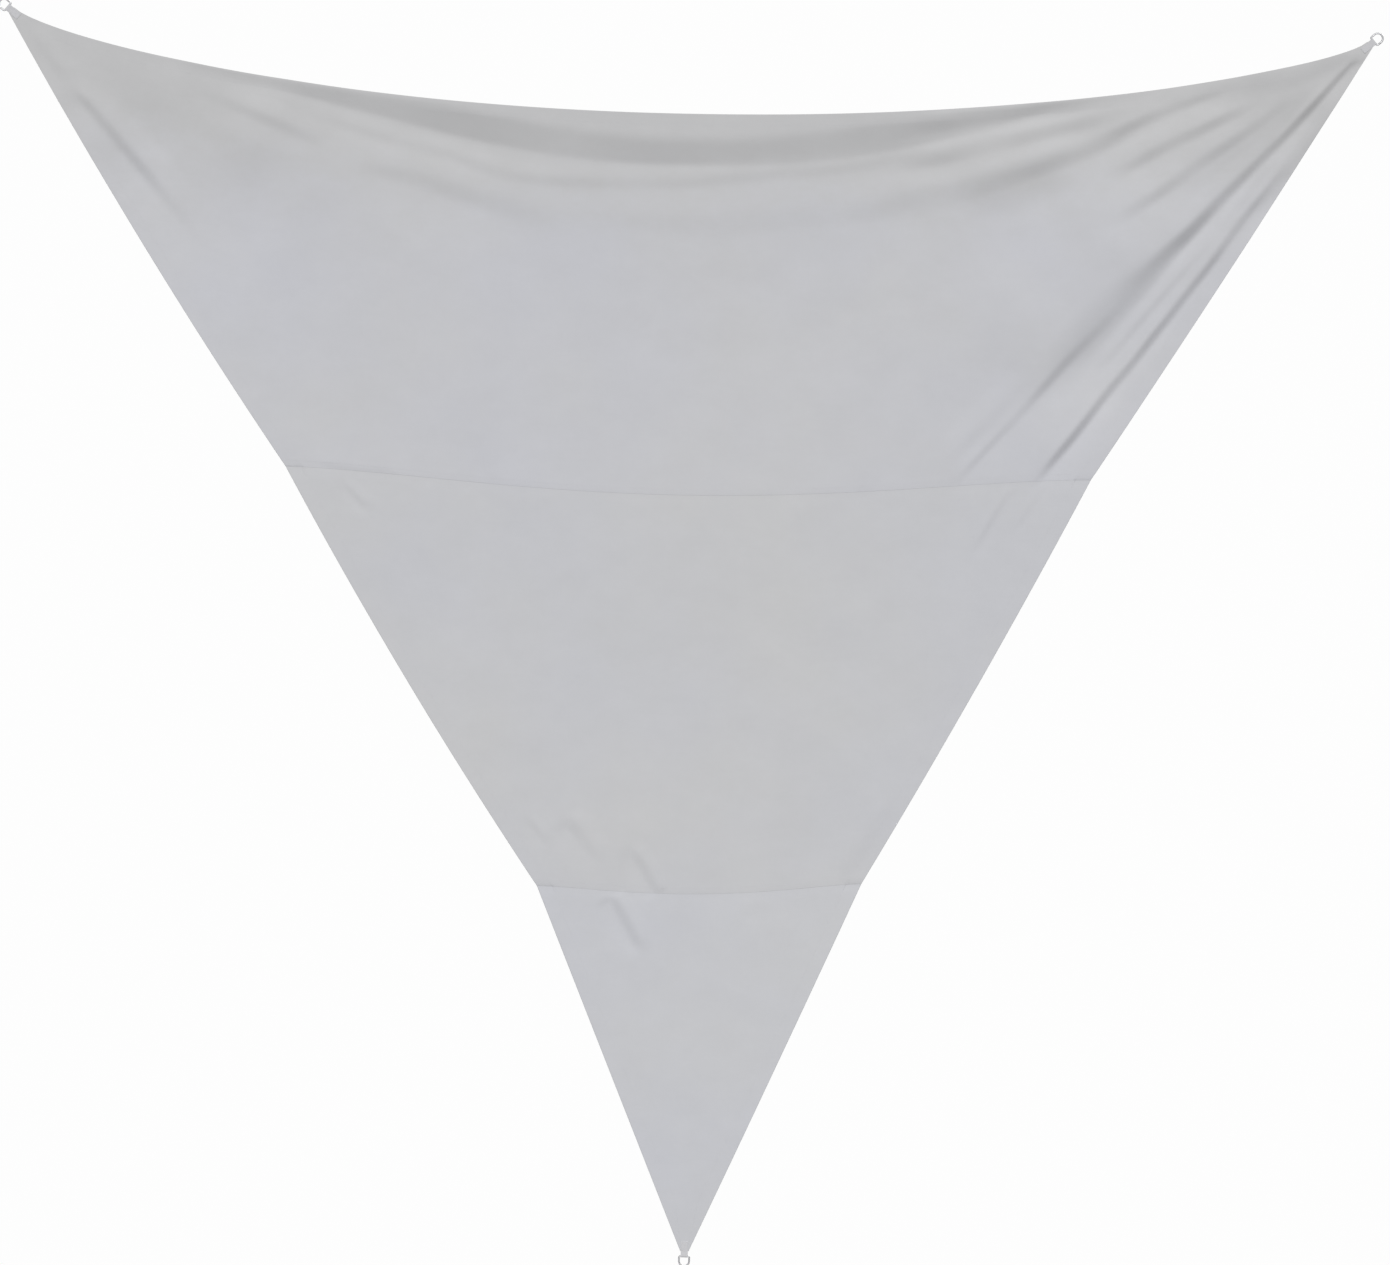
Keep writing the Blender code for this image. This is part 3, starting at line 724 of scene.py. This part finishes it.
def stitch_grain():
    """One stitch of a few faces, 1 long along X, 1 wide and 1 thick: its points and faces."""
    deselect_all()
    upright = (0.0, radians(90), 0.0)
    bpy.ops.mesh.primitive_uv_sphere_add(segments=6, ring_count=3, radius=0.5, rotation=upright)
    bpy.ops.object.transform_apply(rotation=True)
    bpy.ops.object.mode_set(mode="EDIT")
    bpy.ops.mesh.select_all(action="SELECT")
    bpy.ops.mesh.quads_convert_to_tris()
    bpy.ops.object.mode_set(mode="OBJECT")
    mesh = bpy.context.object.data
    points = np.array([vertex.co[:] for vertex in mesh.vertices])
    faces = np.array([face.vertices[:] for face in mesh.polygons])
    bpy.data.meshes.remove(mesh)
    return points, faces


def spaced(points, normals, pitch):
    """Even places along a line of points: their positions, the directions of the line and the normals."""
    steps = np.linalg.norm(np.diff(points, axis=0), axis=1)
    run = np.concatenate(([0.0], np.cumsum(steps)))
    at = np.arange(pitch / 2, run[-1], pitch)

    def found(values, where):
        return np.stack([np.interp(where, run, column) for column in values.T], axis=1)

    along = found(points, at + pitch / 4) - found(points, at - pitch / 4)
    return found(points, at), unit(along), unit(found(normals, at))


def add_stitches(name, runs, material):
    """One joined mesh of stitches on these runs, each of which is a line of points and its normals."""
    settings = bpy.context.scene.shade_sail_stitching
    grain, faces = stitch_grain()
    places = (spaced(*run, settings.pitch) for run in runs)
    place, along, normal = (np.concatenate(part) for part in zip(*places))
    across = np.cross(normal, along)
    random = np.random.default_rng(STITCH_SEED)
    turn = random.normal(0.0, STITCH_VARIES, len(place))[:, None]
    length = settings.length * random.normal(1.0, STITCH_VARIES, len(place))[:, None]
    along, across = along + turn * across, across - turn * along
    axes = (along * length, across * settings.thread, normal * (settings.thread * STITCH_RISE))
    offsets = (grain[None, :, i, None] * axis[:, None, :] for i, axis in enumerate(axes))
    points = place[:, None, :] + sum(offsets)
    numbers = faces[None, :, :] + (np.arange(len(place)) * len(grain))[:, None, None]
    mesh = bpy.data.meshes.new(name)
    mesh.from_pydata(points.reshape(-1, 3).tolist(), [], numbers.reshape(-1, 3).tolist())
    mesh.shade_smooth()
    mesh.materials.append(material)
    return add_piece(name, mesh)


def on_cloth(x, z, thickness):
    """The runs of thread on the front and on the back of the cloth, over a line of points (x, z)."""
    near = 0.002
    y = front_y(x, z)
    slope_x = (front_y(x + near, z) - y) / near
    slope_z = (front_y(x, z + near) - y) / near
    normal = np.stack((slope_x, np.full(x.shape, -1.0), slope_z), axis=1)
    front = np.stack((x, y, z), axis=1)
    back = np.stack((x, y + thickness, z), axis=1)
    return [(front, normal), (back, -normal)]


def row_run(level, inset, thickness, sunk=0.0):
    """The runs of thread along a row, which lie sunk deeper than the front of the cloth would be."""
    width = row_width(level)
    offsets = np.linspace(inset, width - inset, int(width / ROW_THREAD_STEP))
    runs = on_cloth(*row_points(level, offsets), thickness)
    return [(points + (0.0, depth, 0.0), normals) for (points, normals), depth in zip(runs, (sunk, 0.0))]


def side_runs(index):
    """The thread of the two side hems of a panel."""
    first = max(TOP_THREAD_LEVEL, index)
    levels = np.linspace(first, min(LAST_THREAD_LEVEL, index + 1.0), SIDE_THREAD_POINTS)
    left, right = [], []
    for level in levels:
        width = row_width(level)
        inset = hem_of_row(width)[0] - HEM_LINE
        x, z = row_points(level, np.array((inset, width - inset)))
        left.append((x[0], z[0]))
        right.append((x[1], z[1]))
    return [run for line in (left, right) for run in on_cloth(*np.array(line).T, HEM)]


def panel_runs(index):
    """All the thread of one panel: its hems, and the seam on its lower edge."""
    runs = side_runs(index)
    if index == 0:
        runs += row_run(TOP_THREAD_LEVEL, HEM_ACROSS - HEM_LINE, HEM)
    if index < 2:
        for height in SEAM_LINES:
            rise = height / PANEL_DROP
            runs += row_run(index + 1 - rise, HEM_LINE, 2 * CLOTH + GAP, CLOTH * pressed_share(rise))
    return runs


# ---------------------------------------------------------------- corner loops and rings


def corner_place(corner):
    """The matrix that sets a piece at a corner: its +Y along the pull, its +Z towards the viewer."""
    pull = Vector((cos(radians(corner.pull_deg)), 0.0, sin(radians(corner.pull_deg))))
    to_viewer = Vector((0.0, -1.0, 0.0))
    turn = Matrix((pull.cross(to_viewer), pull, to_viewer)).transposed().to_4x4()
    return Matrix.Translation((corner.x, 0.0, corner.z)) @ turn


def loop_profile(settings):
    """The tape seen from its edge, as points (y, height): up the cloth's front, round the bar and back."""
    bar_y = -(settings.eye + settings.wire) / 2
    wrap = settings.wire / 2 + GAP + settings.tape / 2
    leg = HEM / 2 + GAP + settings.tape / 2
    front = [(-EYE_TO_CLOTH - settings.tape_on_cloth * share, leg) for share in LEG_SHARES]
    for share in RISE_SHARES:
        y = -EYE_TO_CLOTH + (bar_y + EYE_TO_CLOTH) * share
        front.append((y, leg + (wrap - leg) * (1 - cos(pi * share)) / 2))
    turns = [pi * i / TAPE_FOLD_STEPS for i in range(TAPE_FOLD_STEPS + 1)]
    fold = [(bar_y + wrap * sin(turn), wrap * cos(turn)) for turn in turns]
    return front + fold + [(y, -height) for y, height in reversed(front)]


def add_loop(corner, material):
    """A tape folded round the ring's bar, its two legs on the front and the back of the cloth's tip."""
    settings = bpy.context.scene.shade_sail_fittings
    profile = np.array(loop_profile(settings))
    width = settings.tape_width
    deselect_all()
    bpy.ops.mesh.primitive_grid_add(x_subdivisions=TAPE_COLUMNS, y_subdivisions=1, size=width)
    tape = bpy.context.object
    for vertex in tape.data.vertices:
        vertex.co.y, vertex.co.z = profile[0 if vertex.co.y < 0 else 1]
    bpy.ops.object.mode_set(mode="EDIT")
    bpy.ops.mesh.select_mode(type="EDGE")
    bpy.ops.mesh.select_all(action="DESELECT")
    bpy.ops.object.mode_set(mode="OBJECT")
    middle = (profile[0][0] + profile[1][0]) / 2
    for edge in tape.data.edges:
        edge.select = all(tape.data.vertices[i].co.y > middle for i in edge.vertices)
    bpy.ops.object.mode_set(mode="EDIT")
    for step_y, step_height in np.diff(profile[1:], axis=0):
        bpy.ops.mesh.extrude_edges_move(TRANSFORM_OT_translate={"value": (0.0, step_y, step_height)})
    bpy.ops.mesh.select_all(action="SELECT")
    bpy.ops.mesh.normals_make_consistent(inside=False)
    bpy.ops.object.mode_set(mode="OBJECT")
    mesh = tape.data
    run = np.concatenate(([0.0], np.cumsum(np.hypot(*np.diff(profile, axis=0).T))))
    layer = mesh.uv_layers.new(name="ribs")
    for loop in mesh.loops:
        x, y, height = mesh.vertices[loop.vertex_index].co
        row = np.argmin(np.hypot(profile[:, 0] - y, profile[:, 1] - height))
        layer.data[loop.index].uv = (x, run[row])
    for kind, name, values in (
        ("SOLIDIFY", "thick", {"thickness": settings.tape, "offset": 0.0, "use_even_offset": True}),
        ("BEVEL", "rounded", {"width": TAPE_BEVEL, "segments": 3, "limit_method": "ANGLE"}),
    ):
        modifier = tape.modifiers.new(name, kind)
        for key, value in values.items():
            setattr(modifier, key, value)
        bpy.ops.object.modifier_apply(modifier=name)
    return placed(tape, "webbing_" + corner.name, corner, material, "loop_" + corner.name)


def placed(made, name, corner, material, node):
    """Sets a piece that was modelled round the eye at its corner, in the place of its node."""
    mesh = made.data
    mesh.transform(corner_place(corner))
    mesh.shade_smooth()
    mesh.materials.clear()
    mesh.materials.append(material)
    made.name = mesh.name = name
    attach(made, "root")
    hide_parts(node)
    return made


def tape_runs(corner):
    """The crossed box of thread on both legs of a corner's tape."""
    settings = bpy.context.scene.shade_sail_fittings
    half = settings.tape_width / 2 - BOX_INSET
    near = -EYE_TO_CLOTH - BOX_FROM_TIP
    far = -EYE_TO_CLOTH - settings.tape_on_cloth + BOX_INSET
    height = HEM / 2 + GAP + settings.tape
    box = ((-half, near), (half, near), (half, far), (-half, far))
    lines = [(box[i], box[(i + 1) % 4]) for i in range(4)] + [(box[0], box[2]), (box[1], box[3])]
    place = corner_place(corner)
    turn = place.to_3x3()
    runs = []
    for side in (1, -1):
        normal = np.array(turn @ Vector((0.0, 0.0, side)))
        for line in lines:
            points = np.array([place @ Vector((x, y, side * height)) for x, y in line])
            runs.append((points, np.array((normal, normal))))
    return runs


def add_ring(corner, material):
    """A D-ring of round wire, its straight bar towards the cloth, welded on one of its short sides."""
    settings = bpy.context.scene.shade_sail_fittings
    half = (settings.eye + settings.wire) / 2
    bend = half - BAR_BEND
    deselect_all()
    bpy.ops.mesh.primitive_circle_add(
        vertices=WIRE_POINTS, radius=settings.wire / 2, location=(0.0, -half, 0.0),
        rotation=(0.0, radians(90), 0.0),
    )
    bpy.ops.object.transform_apply(location=True, rotation=True)
    ring = bpy.context.object
    bpy.ops.object.mode_set(mode="EDIT")
    bpy.ops.mesh.select_all(action="SELECT")

    def straight(x, y):
        bpy.ops.mesh.extrude_edges_move(TRANSFORM_OT_translate={"value": (x, y, 0.0)})

    def turned(x, y, degrees, steps):
        angle = SPIN_SIGN * radians(degrees)
        bpy.ops.mesh.spin(steps=steps, angle=angle, center=(x, y, 0.0), axis=(0.0, 0.0, 1.0))

    def swollen(share, y):
        bpy.ops.transform.resize(value=(share, 1.0, share), center_override=(half, y, 0.0))

    straight(bend, 0.0)
    turned(bend, -bend, 90, BEND_STEPS)
    step = (bend - WELD_LENGTH) / 2
    y = -bend
    for share in (1.0, WELD_RISE, WELD_CROWN, 1.0, 1 / WELD_CROWN, 1 / WELD_RISE):
        straight(0.0, step)
        y += step
        swollen(share, y)
        step = WELD_LENGTH / WELD_STEPS
    straight(0.0, -y)
    turned(0.0, 0.0, 180, ROUND_STEPS)
    straight(0.0, -bend)
    turned(-bend, -bend, 90, BEND_STEPS)
    straight(bend, 0.0)
    bpy.ops.mesh.select_all(action="SELECT")
    bpy.ops.mesh.remove_doubles(threshold=MERGE)
    bpy.ops.mesh.normals_make_consistent(inside=False)
    bpy.ops.object.mode_set(mode="OBJECT")
    return placed(ring, "steel_ring_" + corner.name, corner, material, "ring_" + corner.name)


# ---------------------------------------------------------------- materials


class Value:
    """A shader socket, whose arithmetic adds Math nodes."""

    def __init__(self, shader, socket):
        self.shader = shader
        self.socket = socket

    def math(self, operation, *others):
        sockets = dict(enumerate((self, *others)))
        return self.shader.node("ShaderNodeMath", {"operation": operation}, sockets)

    def __add__(self, other):
        return self.math("ADD", other)

    def __sub__(self, other):
        return self.math("SUBTRACT", other)

    def __mul__(self, other):
        return self.math("MULTIPLY", other)

    def __rsub__(self, other):
        return (self * -1.0) + other

    __radd__ = __add__
    __rmul__ = __mul__


class Shader:
    """A material's nodes."""

    def __init__(self, name):
        self.material = bpy.data.materials.new(name)
        self.material.use_nodes = True
        self.tree = self.material.node_tree
        self.surface = self.tree.nodes["Principled BSDF"]

    def node(self, kind, settings=None, inputs=None, output=0):
        """A node of this type, with its settings and the values or links of its sockets."""
        made = self.tree.nodes.new(kind)
        for key, value in (settings or {}).items():
            setattr(made, key, value)
        for key, value in (inputs or {}).items():
            self.feed(made.inputs[key], value)
        return Value(self, made.outputs[output])

    def feed(self, socket, value):
        if isinstance(value, Value):
            self.tree.links.new(value.socket, socket)
        else:
            socket.default_value = value

    def surface_is(self, **inputs):
        """Sets sockets of the surface, whose names have _ in place of a space."""
        for key, value in inputs.items():
            self.feed(self.surface.inputs[key.replace("_", " ")], value)

    def place(self):
        return self.node("ShaderNodeTexCoord", output="Object")

    def uv(self, name):
        return self.node("ShaderNodeUVMap", {"uv_map": name})

    def part(self, vector, axis):
        return self.node("ShaderNodeSeparateXYZ", {}, {0: vector}, output=axis)

    def noise(self, place, scale, detail=2.0, rough=0.5):
        """Soft noise. With three scales, the place is stretched by them first."""
        if isinstance(scale, tuple):
            place = self.node("ShaderNodeVectorMath", {"operation": "MULTIPLY"}, {0: place, 1: scale})
            scale = 1.0
        inputs = {"Vector": place, "Scale": scale, "Detail": detail, "Roughness": rough}
        return self.node("ShaderNodeTexNoise", {"noise_dimensions": "3D"}, inputs)

    def mix(self, share, first, second, how="MIX"):
        settings = {"data_type": "RGBA", "blend_type": how}
        return self.node("ShaderNodeMix", settings, {0: share, 6: first, 7: second}, output=2)

    def fading(self, distance, full, start, end):
        """full up to the start distance, and 0 beyond the end distance."""
        return self.node(
            "ShaderNodeMapRange", {"interpolation_type": "SMOOTHERSTEP"},
            {"Value": distance, "From Min": start, "From Max": end, "To Min": full, "To Max": 0.0},
        )

    def tinted(self, colour, share):
        """The colour made lighter or darker by a share round 1."""
        grey = self.node("ShaderNodeCombineColor", {}, {0: share, 1: share, 2: share})
        return self.mix(1.0, colour, grey, "MULTIPLY")

    def bump(self, height, distance, strength):
        inputs = {"Height": height, "Distance": distance, "Strength": strength}
        return self.node("ShaderNodeBump", {}, inputs)


def opaque(colour):
    return (*colour, 1.0)


def woven_cloth(panel):
    """Light grey woven cloth: fine threads, uneven ones along the seams, faint warm and cool areas, and
    painted shade between the threads and round the upper corners.
    """
    settings = bpy.context.scene.shade_sail_cloth
    shader = Shader("woven_cloth_" + panel.name)
    threads, place = shader.uv("threads"), shader.place()
    areas = shader.noise(place, 1.3, detail=3.0)
    clouds = shader.noise(place, (6.0, 8.0, 9.0), detail=4.0, rough=0.72)
    slubs = shader.noise(threads, (9.0, 260.0, 1.0), detail=3.0, rough=0.65)
    warps = shader.noise(threads, (300.0, 5.0, 1.0), rough=0.6)
    wobble = shader.noise(threads, (60.0, 60.0, 1.0)) * 2.0
    turns = pi / settings.thread
    warp = (shader.part(threads, "X") * turns + wobble).math("SINE")
    weft = (shader.part(threads, "Y") * turns + wobble).math("SINE")
    over = (warp * weft).math("GREATER_THAN", 0.0)
    weave = over * warp.math("ABSOLUTE") + (1.0 - over) * weft.math("ABSOLUTE")
    # darker in the hollows between the threads and lighter on the slubs and warps that stand higher:
    # painted shade on top of the threads' own tone; areas and clouds are random tone
    shade = 0.925 + areas * 0.03 + clouds * 0.09 + slubs * 0.022 + warps * 0.010 - (1.0 - weave) * 0.03
    cool = [channel * tint for channel, tint in zip(settings.colour, panel.lot)]
    warm = [channel * tint for channel, tint in zip(cool, WARM_TINT)]
    colour = shader.mix(areas * 2.6 - 0.8, opaque(cool), opaque(warm))
    if TOP_LEFT in panel.corners:
        # the cloth near the slack upper edge is made a little less blue
        below = shader.part(threads, "Y") * -1.0 + clouds * 0.3
        colour = shader.mix(shader.fading(below, *UPPER_EDGE_TINT_FADE), colour, UPPER_EDGE_TINT)
        # painted shade: the cloth is darker round the two upper corners
        for corner in panel.corners:
            ends = {0: place, 1: (corner.x, 0.0, corner.z)}
            away = shader.node("ShaderNodeVectorMath", {"operation": "DISTANCE"}, ends, output=1)
            colour = shader.mix(shader.fading(away + clouds * 0.5, *CORNER_PAINTED_SHADE_FADE), colour, CORNER_PAINTED_SHADE)
    height = weave * 0.5 + slubs * 0.5 + warps * 0.3
    shader.surface_is(
        Base_Color=shader.tinted(colour, shade),
        Roughness=0.86 - weave * 0.06,
        Normal=shader.bump(height, 0.00025, 0.6),
        Specular_IOR_Level=0.25,
    )
    return shader.material


def sewing_thread():
    """Fine twisted thread, a little lighter than the cloth."""
    settings = bpy.context.scene.shade_sail_stitching
    shader = Shader("sewing_thread")
    place = shader.place()
    fibres = shader.noise(place, 2500.0)
    lots = shader.noise(place, 35.0, detail=1.0)
    # the fibres are darker where they lie lower: the fibres' own tone together with painted shade; lots is
    # random tone
    shader.surface_is(
        Base_Color=shader.tinted(opaque(settings.colour), 0.93 + fibres * 0.10 + lots * 0.04),
        Roughness=0.62 + fibres * 0.12,
        Normal=shader.bump(fibres, 0.0001, 0.6),
        Specular_IOR_Level=0.35,
    )
    return shader.material


def ribbed_webbing():
    """Webbing woven in lengthwise ribs, each of slanting yarns that turn over from rib to rib, with painted
    shade in the grooves.
    """
    settings = bpy.context.scene.shade_sail_fittings
    shader = Shader("ribbed_webbing")
    ribs, place = shader.uv("ribs"), shader.place()
    across, along = shader.part(ribs, "X"), shader.part(ribs, "Y")
    wave = (across * (2 * pi / RIB)).math("SINE")
    rib = wave.math("ABSOLUTE")
    yarns = ((along + wave.math("SIGN") * across * 0.8) * (2 * pi / YARN)).math("SINE")
    soil = shader.noise(place, 40.0, detail=3.0)
    fibres = shader.noise(place, 1800.0)
    height = rib * 0.6 + yarns * 0.2 + fibres * 0.2
    # darker in the grooves between the ribs and the yarns: painted shade; soil is random tone
    shade = 0.90 + rib * 0.06 + yarns * 0.02 + soil * 0.05
    shader.surface_is(
        Base_Color=shader.tinted(opaque(settings.tape_colour), shade),
        Roughness=0.80 - rib * 0.08,
        Normal=shader.bump(height, 0.0005, 0.8),
        Specular_IOR_Level=0.3,
    )
    return shader.material


def stainless():
    """Drawn stainless wire, tumbled to a soft shine, with fine scratches and duller patches."""
    settings = bpy.context.scene.shade_sail_fittings
    shader = Shader("stainless")
    place = shader.place()
    patches = shader.noise(place, 90.0, detail=3.0)
    scratches = shader.noise(place, (2600.0, 390.0, 2600.0), detail=3.0, rough=0.7)
    shader.surface_is(
        Base_Color=shader.tinted(opaque(settings.steel), 0.93 + patches * 0.12),
        Roughness=0.34 + patches * 0.14 + scratches * 0.10,
        Normal=shader.bump(scratches, 0.00004, 0.25),
        Metallic=1.0,
    )
    return shader.material


# ---------------------------------------------------------------- operators


class SHADESAIL_OT_rings(bpy.types.Operator):
    """Make the three corner rings"""

    bl_idname = "shade_sail.rings"
    bl_label = "Corner rings"

    def execute(self, context):
        material = stainless()
        for corner in CORNERS:
            add_ring(corner, material)
        return {"FINISHED"}


class SHADESAIL_OT_webbing(bpy.types.Operator):
    """Make the three loops of webbing that hold the rings, and the thread on them"""

    bl_idname = "shade_sail.webbing"
    bl_label = "Webbing loops"

    def execute(self, context):
        material, thread = ribbed_webbing(), sewing_thread()
        for corner in CORNERS:
            add_loop(corner, material)
            add_stitches("box_stitches_" + corner.name, tape_runs(corner), thread)
        return {"FINISHED"}


class SHADESAIL_OT_stitching(bpy.types.Operator):
    """Sew the hems and the seams, on the front and on the back"""

    bl_idname = "shade_sail.stitching"
    bl_label = "Stitching"

    def execute(self, context):
        thread = sewing_thread()
        for index, panel in enumerate(PANELS):
            add_stitches("stitching_" + panel.name, panel_runs(index), thread)
        return {"FINISHED"}


class SHADESAIL_OT_cloth(bpy.types.Operator):
    """Make the three panels of cloth with their hems, laps and folds"""

    bl_idname = "shade_sail.cloth"
    bl_label = "Cloth panels"

    def execute(self, context):
        for index, panel in enumerate(PANELS):
            cloth = add_cloth(index, woven_cloth(panel))
            on_it = ["stitching_" + panel.name]
            for corner in panel.corners:
                on_it += [kind + corner.name for kind in ("webbing_", "box_stitches_", "steel_ring_")]
        return {"FINISHED"}


class SHADESAIL_OT_stage(bpy.types.Operator):
    """Make the pale floor, the studio lights and the camera"""

    bl_idname = "shade_sail.stage"
    bl_label = "Stage"

    def execute(self, context):
        settings = context.scene.shade_sail_stage
        add_floor(settings)
        add_lights(settings)
        add_world(settings)
        add_camera(settings)
        context.scene.view_settings.view_transform = "Standard"
        return {"FINISHED"}


def add_floor(settings):
    deselect_all()
    level = min(corner.z for corner in CORNERS) - settings.floor_drop
    place = (FRAME_CENTRE.x, 0.0, level)
    bpy.ops.mesh.primitive_circle_add(
        vertices=FLOOR_SIDES, radius=FLOOR_RADIUS, fill_type="NGON", location=place
    )
    floor = bpy.context.object
    floor.name = "floor"
    shader = Shader("pale_floor")
    shader.surface_is(
        Base_Color=FLOOR_GREY, Roughness=0.9, Emission_Color=WHITE, Emission_Strength=FLOOR_GLOW
    )
    floor.data.materials.append(shader.material)
    floor.visible_diffuse = False  # no light from below fills the folds


def add_light(name, direction, strength, softness):
    """A soft light from this direction, which falls evenly on the whole sail."""
    light = bpy.data.lights.new(name, "SUN")
    light.energy = strength
    light.angle = softness
    holder = bpy.data.objects.new(name, light)
    holder.location = FRAME_CENTRE + direction.normalized() * LIGHT_DISTANCE
    holder.rotation_euler = (-direction).to_track_quat("-Z", "Y").to_euler()
    bpy.context.scene.collection.objects.link(holder)


def add_lights(settings):
    add_light("key", KEY_FROM, settings.key, settings.softness)
    add_light("back", BACK_FROM, settings.back, settings.softness)


def add_world(settings):
    """Pale all round to the eye, with a weaker light than its look from all sides."""
    world = bpy.data.worlds.new("studio")
    bpy.context.scene.world = world
    world.use_nodes = True
    tree = world.node_tree
    background = tree.nodes["Background"]
    rays = tree.nodes.new("ShaderNodeLightPath")
    seen = tree.nodes.new("ShaderNodeMapRange")
    seen.inputs["To Min"].default_value = settings.ambient
    seen.inputs["To Max"].default_value = WORLD_LOOK
    tree.links.new(rays.outputs["Is Camera Ray"], seen.inputs["Value"])
    tree.links.new(seen.outputs["Result"], background.inputs["Strength"])
    background.inputs["Color"].default_value = WHITE


def add_camera(settings):
    camera = bpy.data.cameras.new("camera")
    camera.sensor_width = SENSOR
    camera.lens = SENSOR * settings.camera_distance / FRAME_WIDTH
    holder = bpy.data.objects.new("camera", camera)
    holder.location = FRAME_CENTRE - Vector((0.0, settings.camera_distance, 0.0))
    holder.rotation_euler = (radians(90), 0.0, 0.0)
    bpy.context.scene.collection.objects.link(holder)
    bpy.context.scene.camera = holder


class SHADESAIL_PT_build(bpy.types.Panel):
    """The steps that dress the sail, in order"""

    bl_label = "Shade sail"
    bl_space_type = "VIEW_3D"
    bl_region_type = "UI"
    bl_category = "Shade sail"

    def draw(self, context):
        for step in STEPS:
            self.layout.operator(step.bl_idname)


GROUPS = {
    "shade_sail_cloth": ShadeSailCloth,
    "shade_sail_stitching": ShadeSailStitching,
    "shade_sail_fittings": ShadeSailFittings,
    "shade_sail_stage": ShadeSailStage,
}
STEPS = (
    SHADESAIL_OT_rings, SHADESAIL_OT_webbing, SHADESAIL_OT_stitching, SHADESAIL_OT_cloth, SHADESAIL_OT_stage
)


def register():
    for cls in (*GROUPS.values(), *STEPS, SHADESAIL_PT_build):
        bpy.utils.register_class(cls)
    for name, group in GROUPS.items():
        setattr(bpy.types.Scene, name, PointerProperty(type=group))


def unregister():
    for name in GROUPS:
        delattr(bpy.types.Scene, name)
    for cls in reversed((*GROUPS.values(), *STEPS, SHADESAIL_PT_build)):
        bpy.utils.unregister_class(cls)


def main():
    register()
    bpy.ops.shade_sail.rings()
    bpy.ops.shade_sail.webbing()
    bpy.ops.shade_sail.stitching()
    bpy.ops.shade_sail.cloth()
    bpy.ops.shade_sail.stage()


if __name__ == "__main__":
    main()
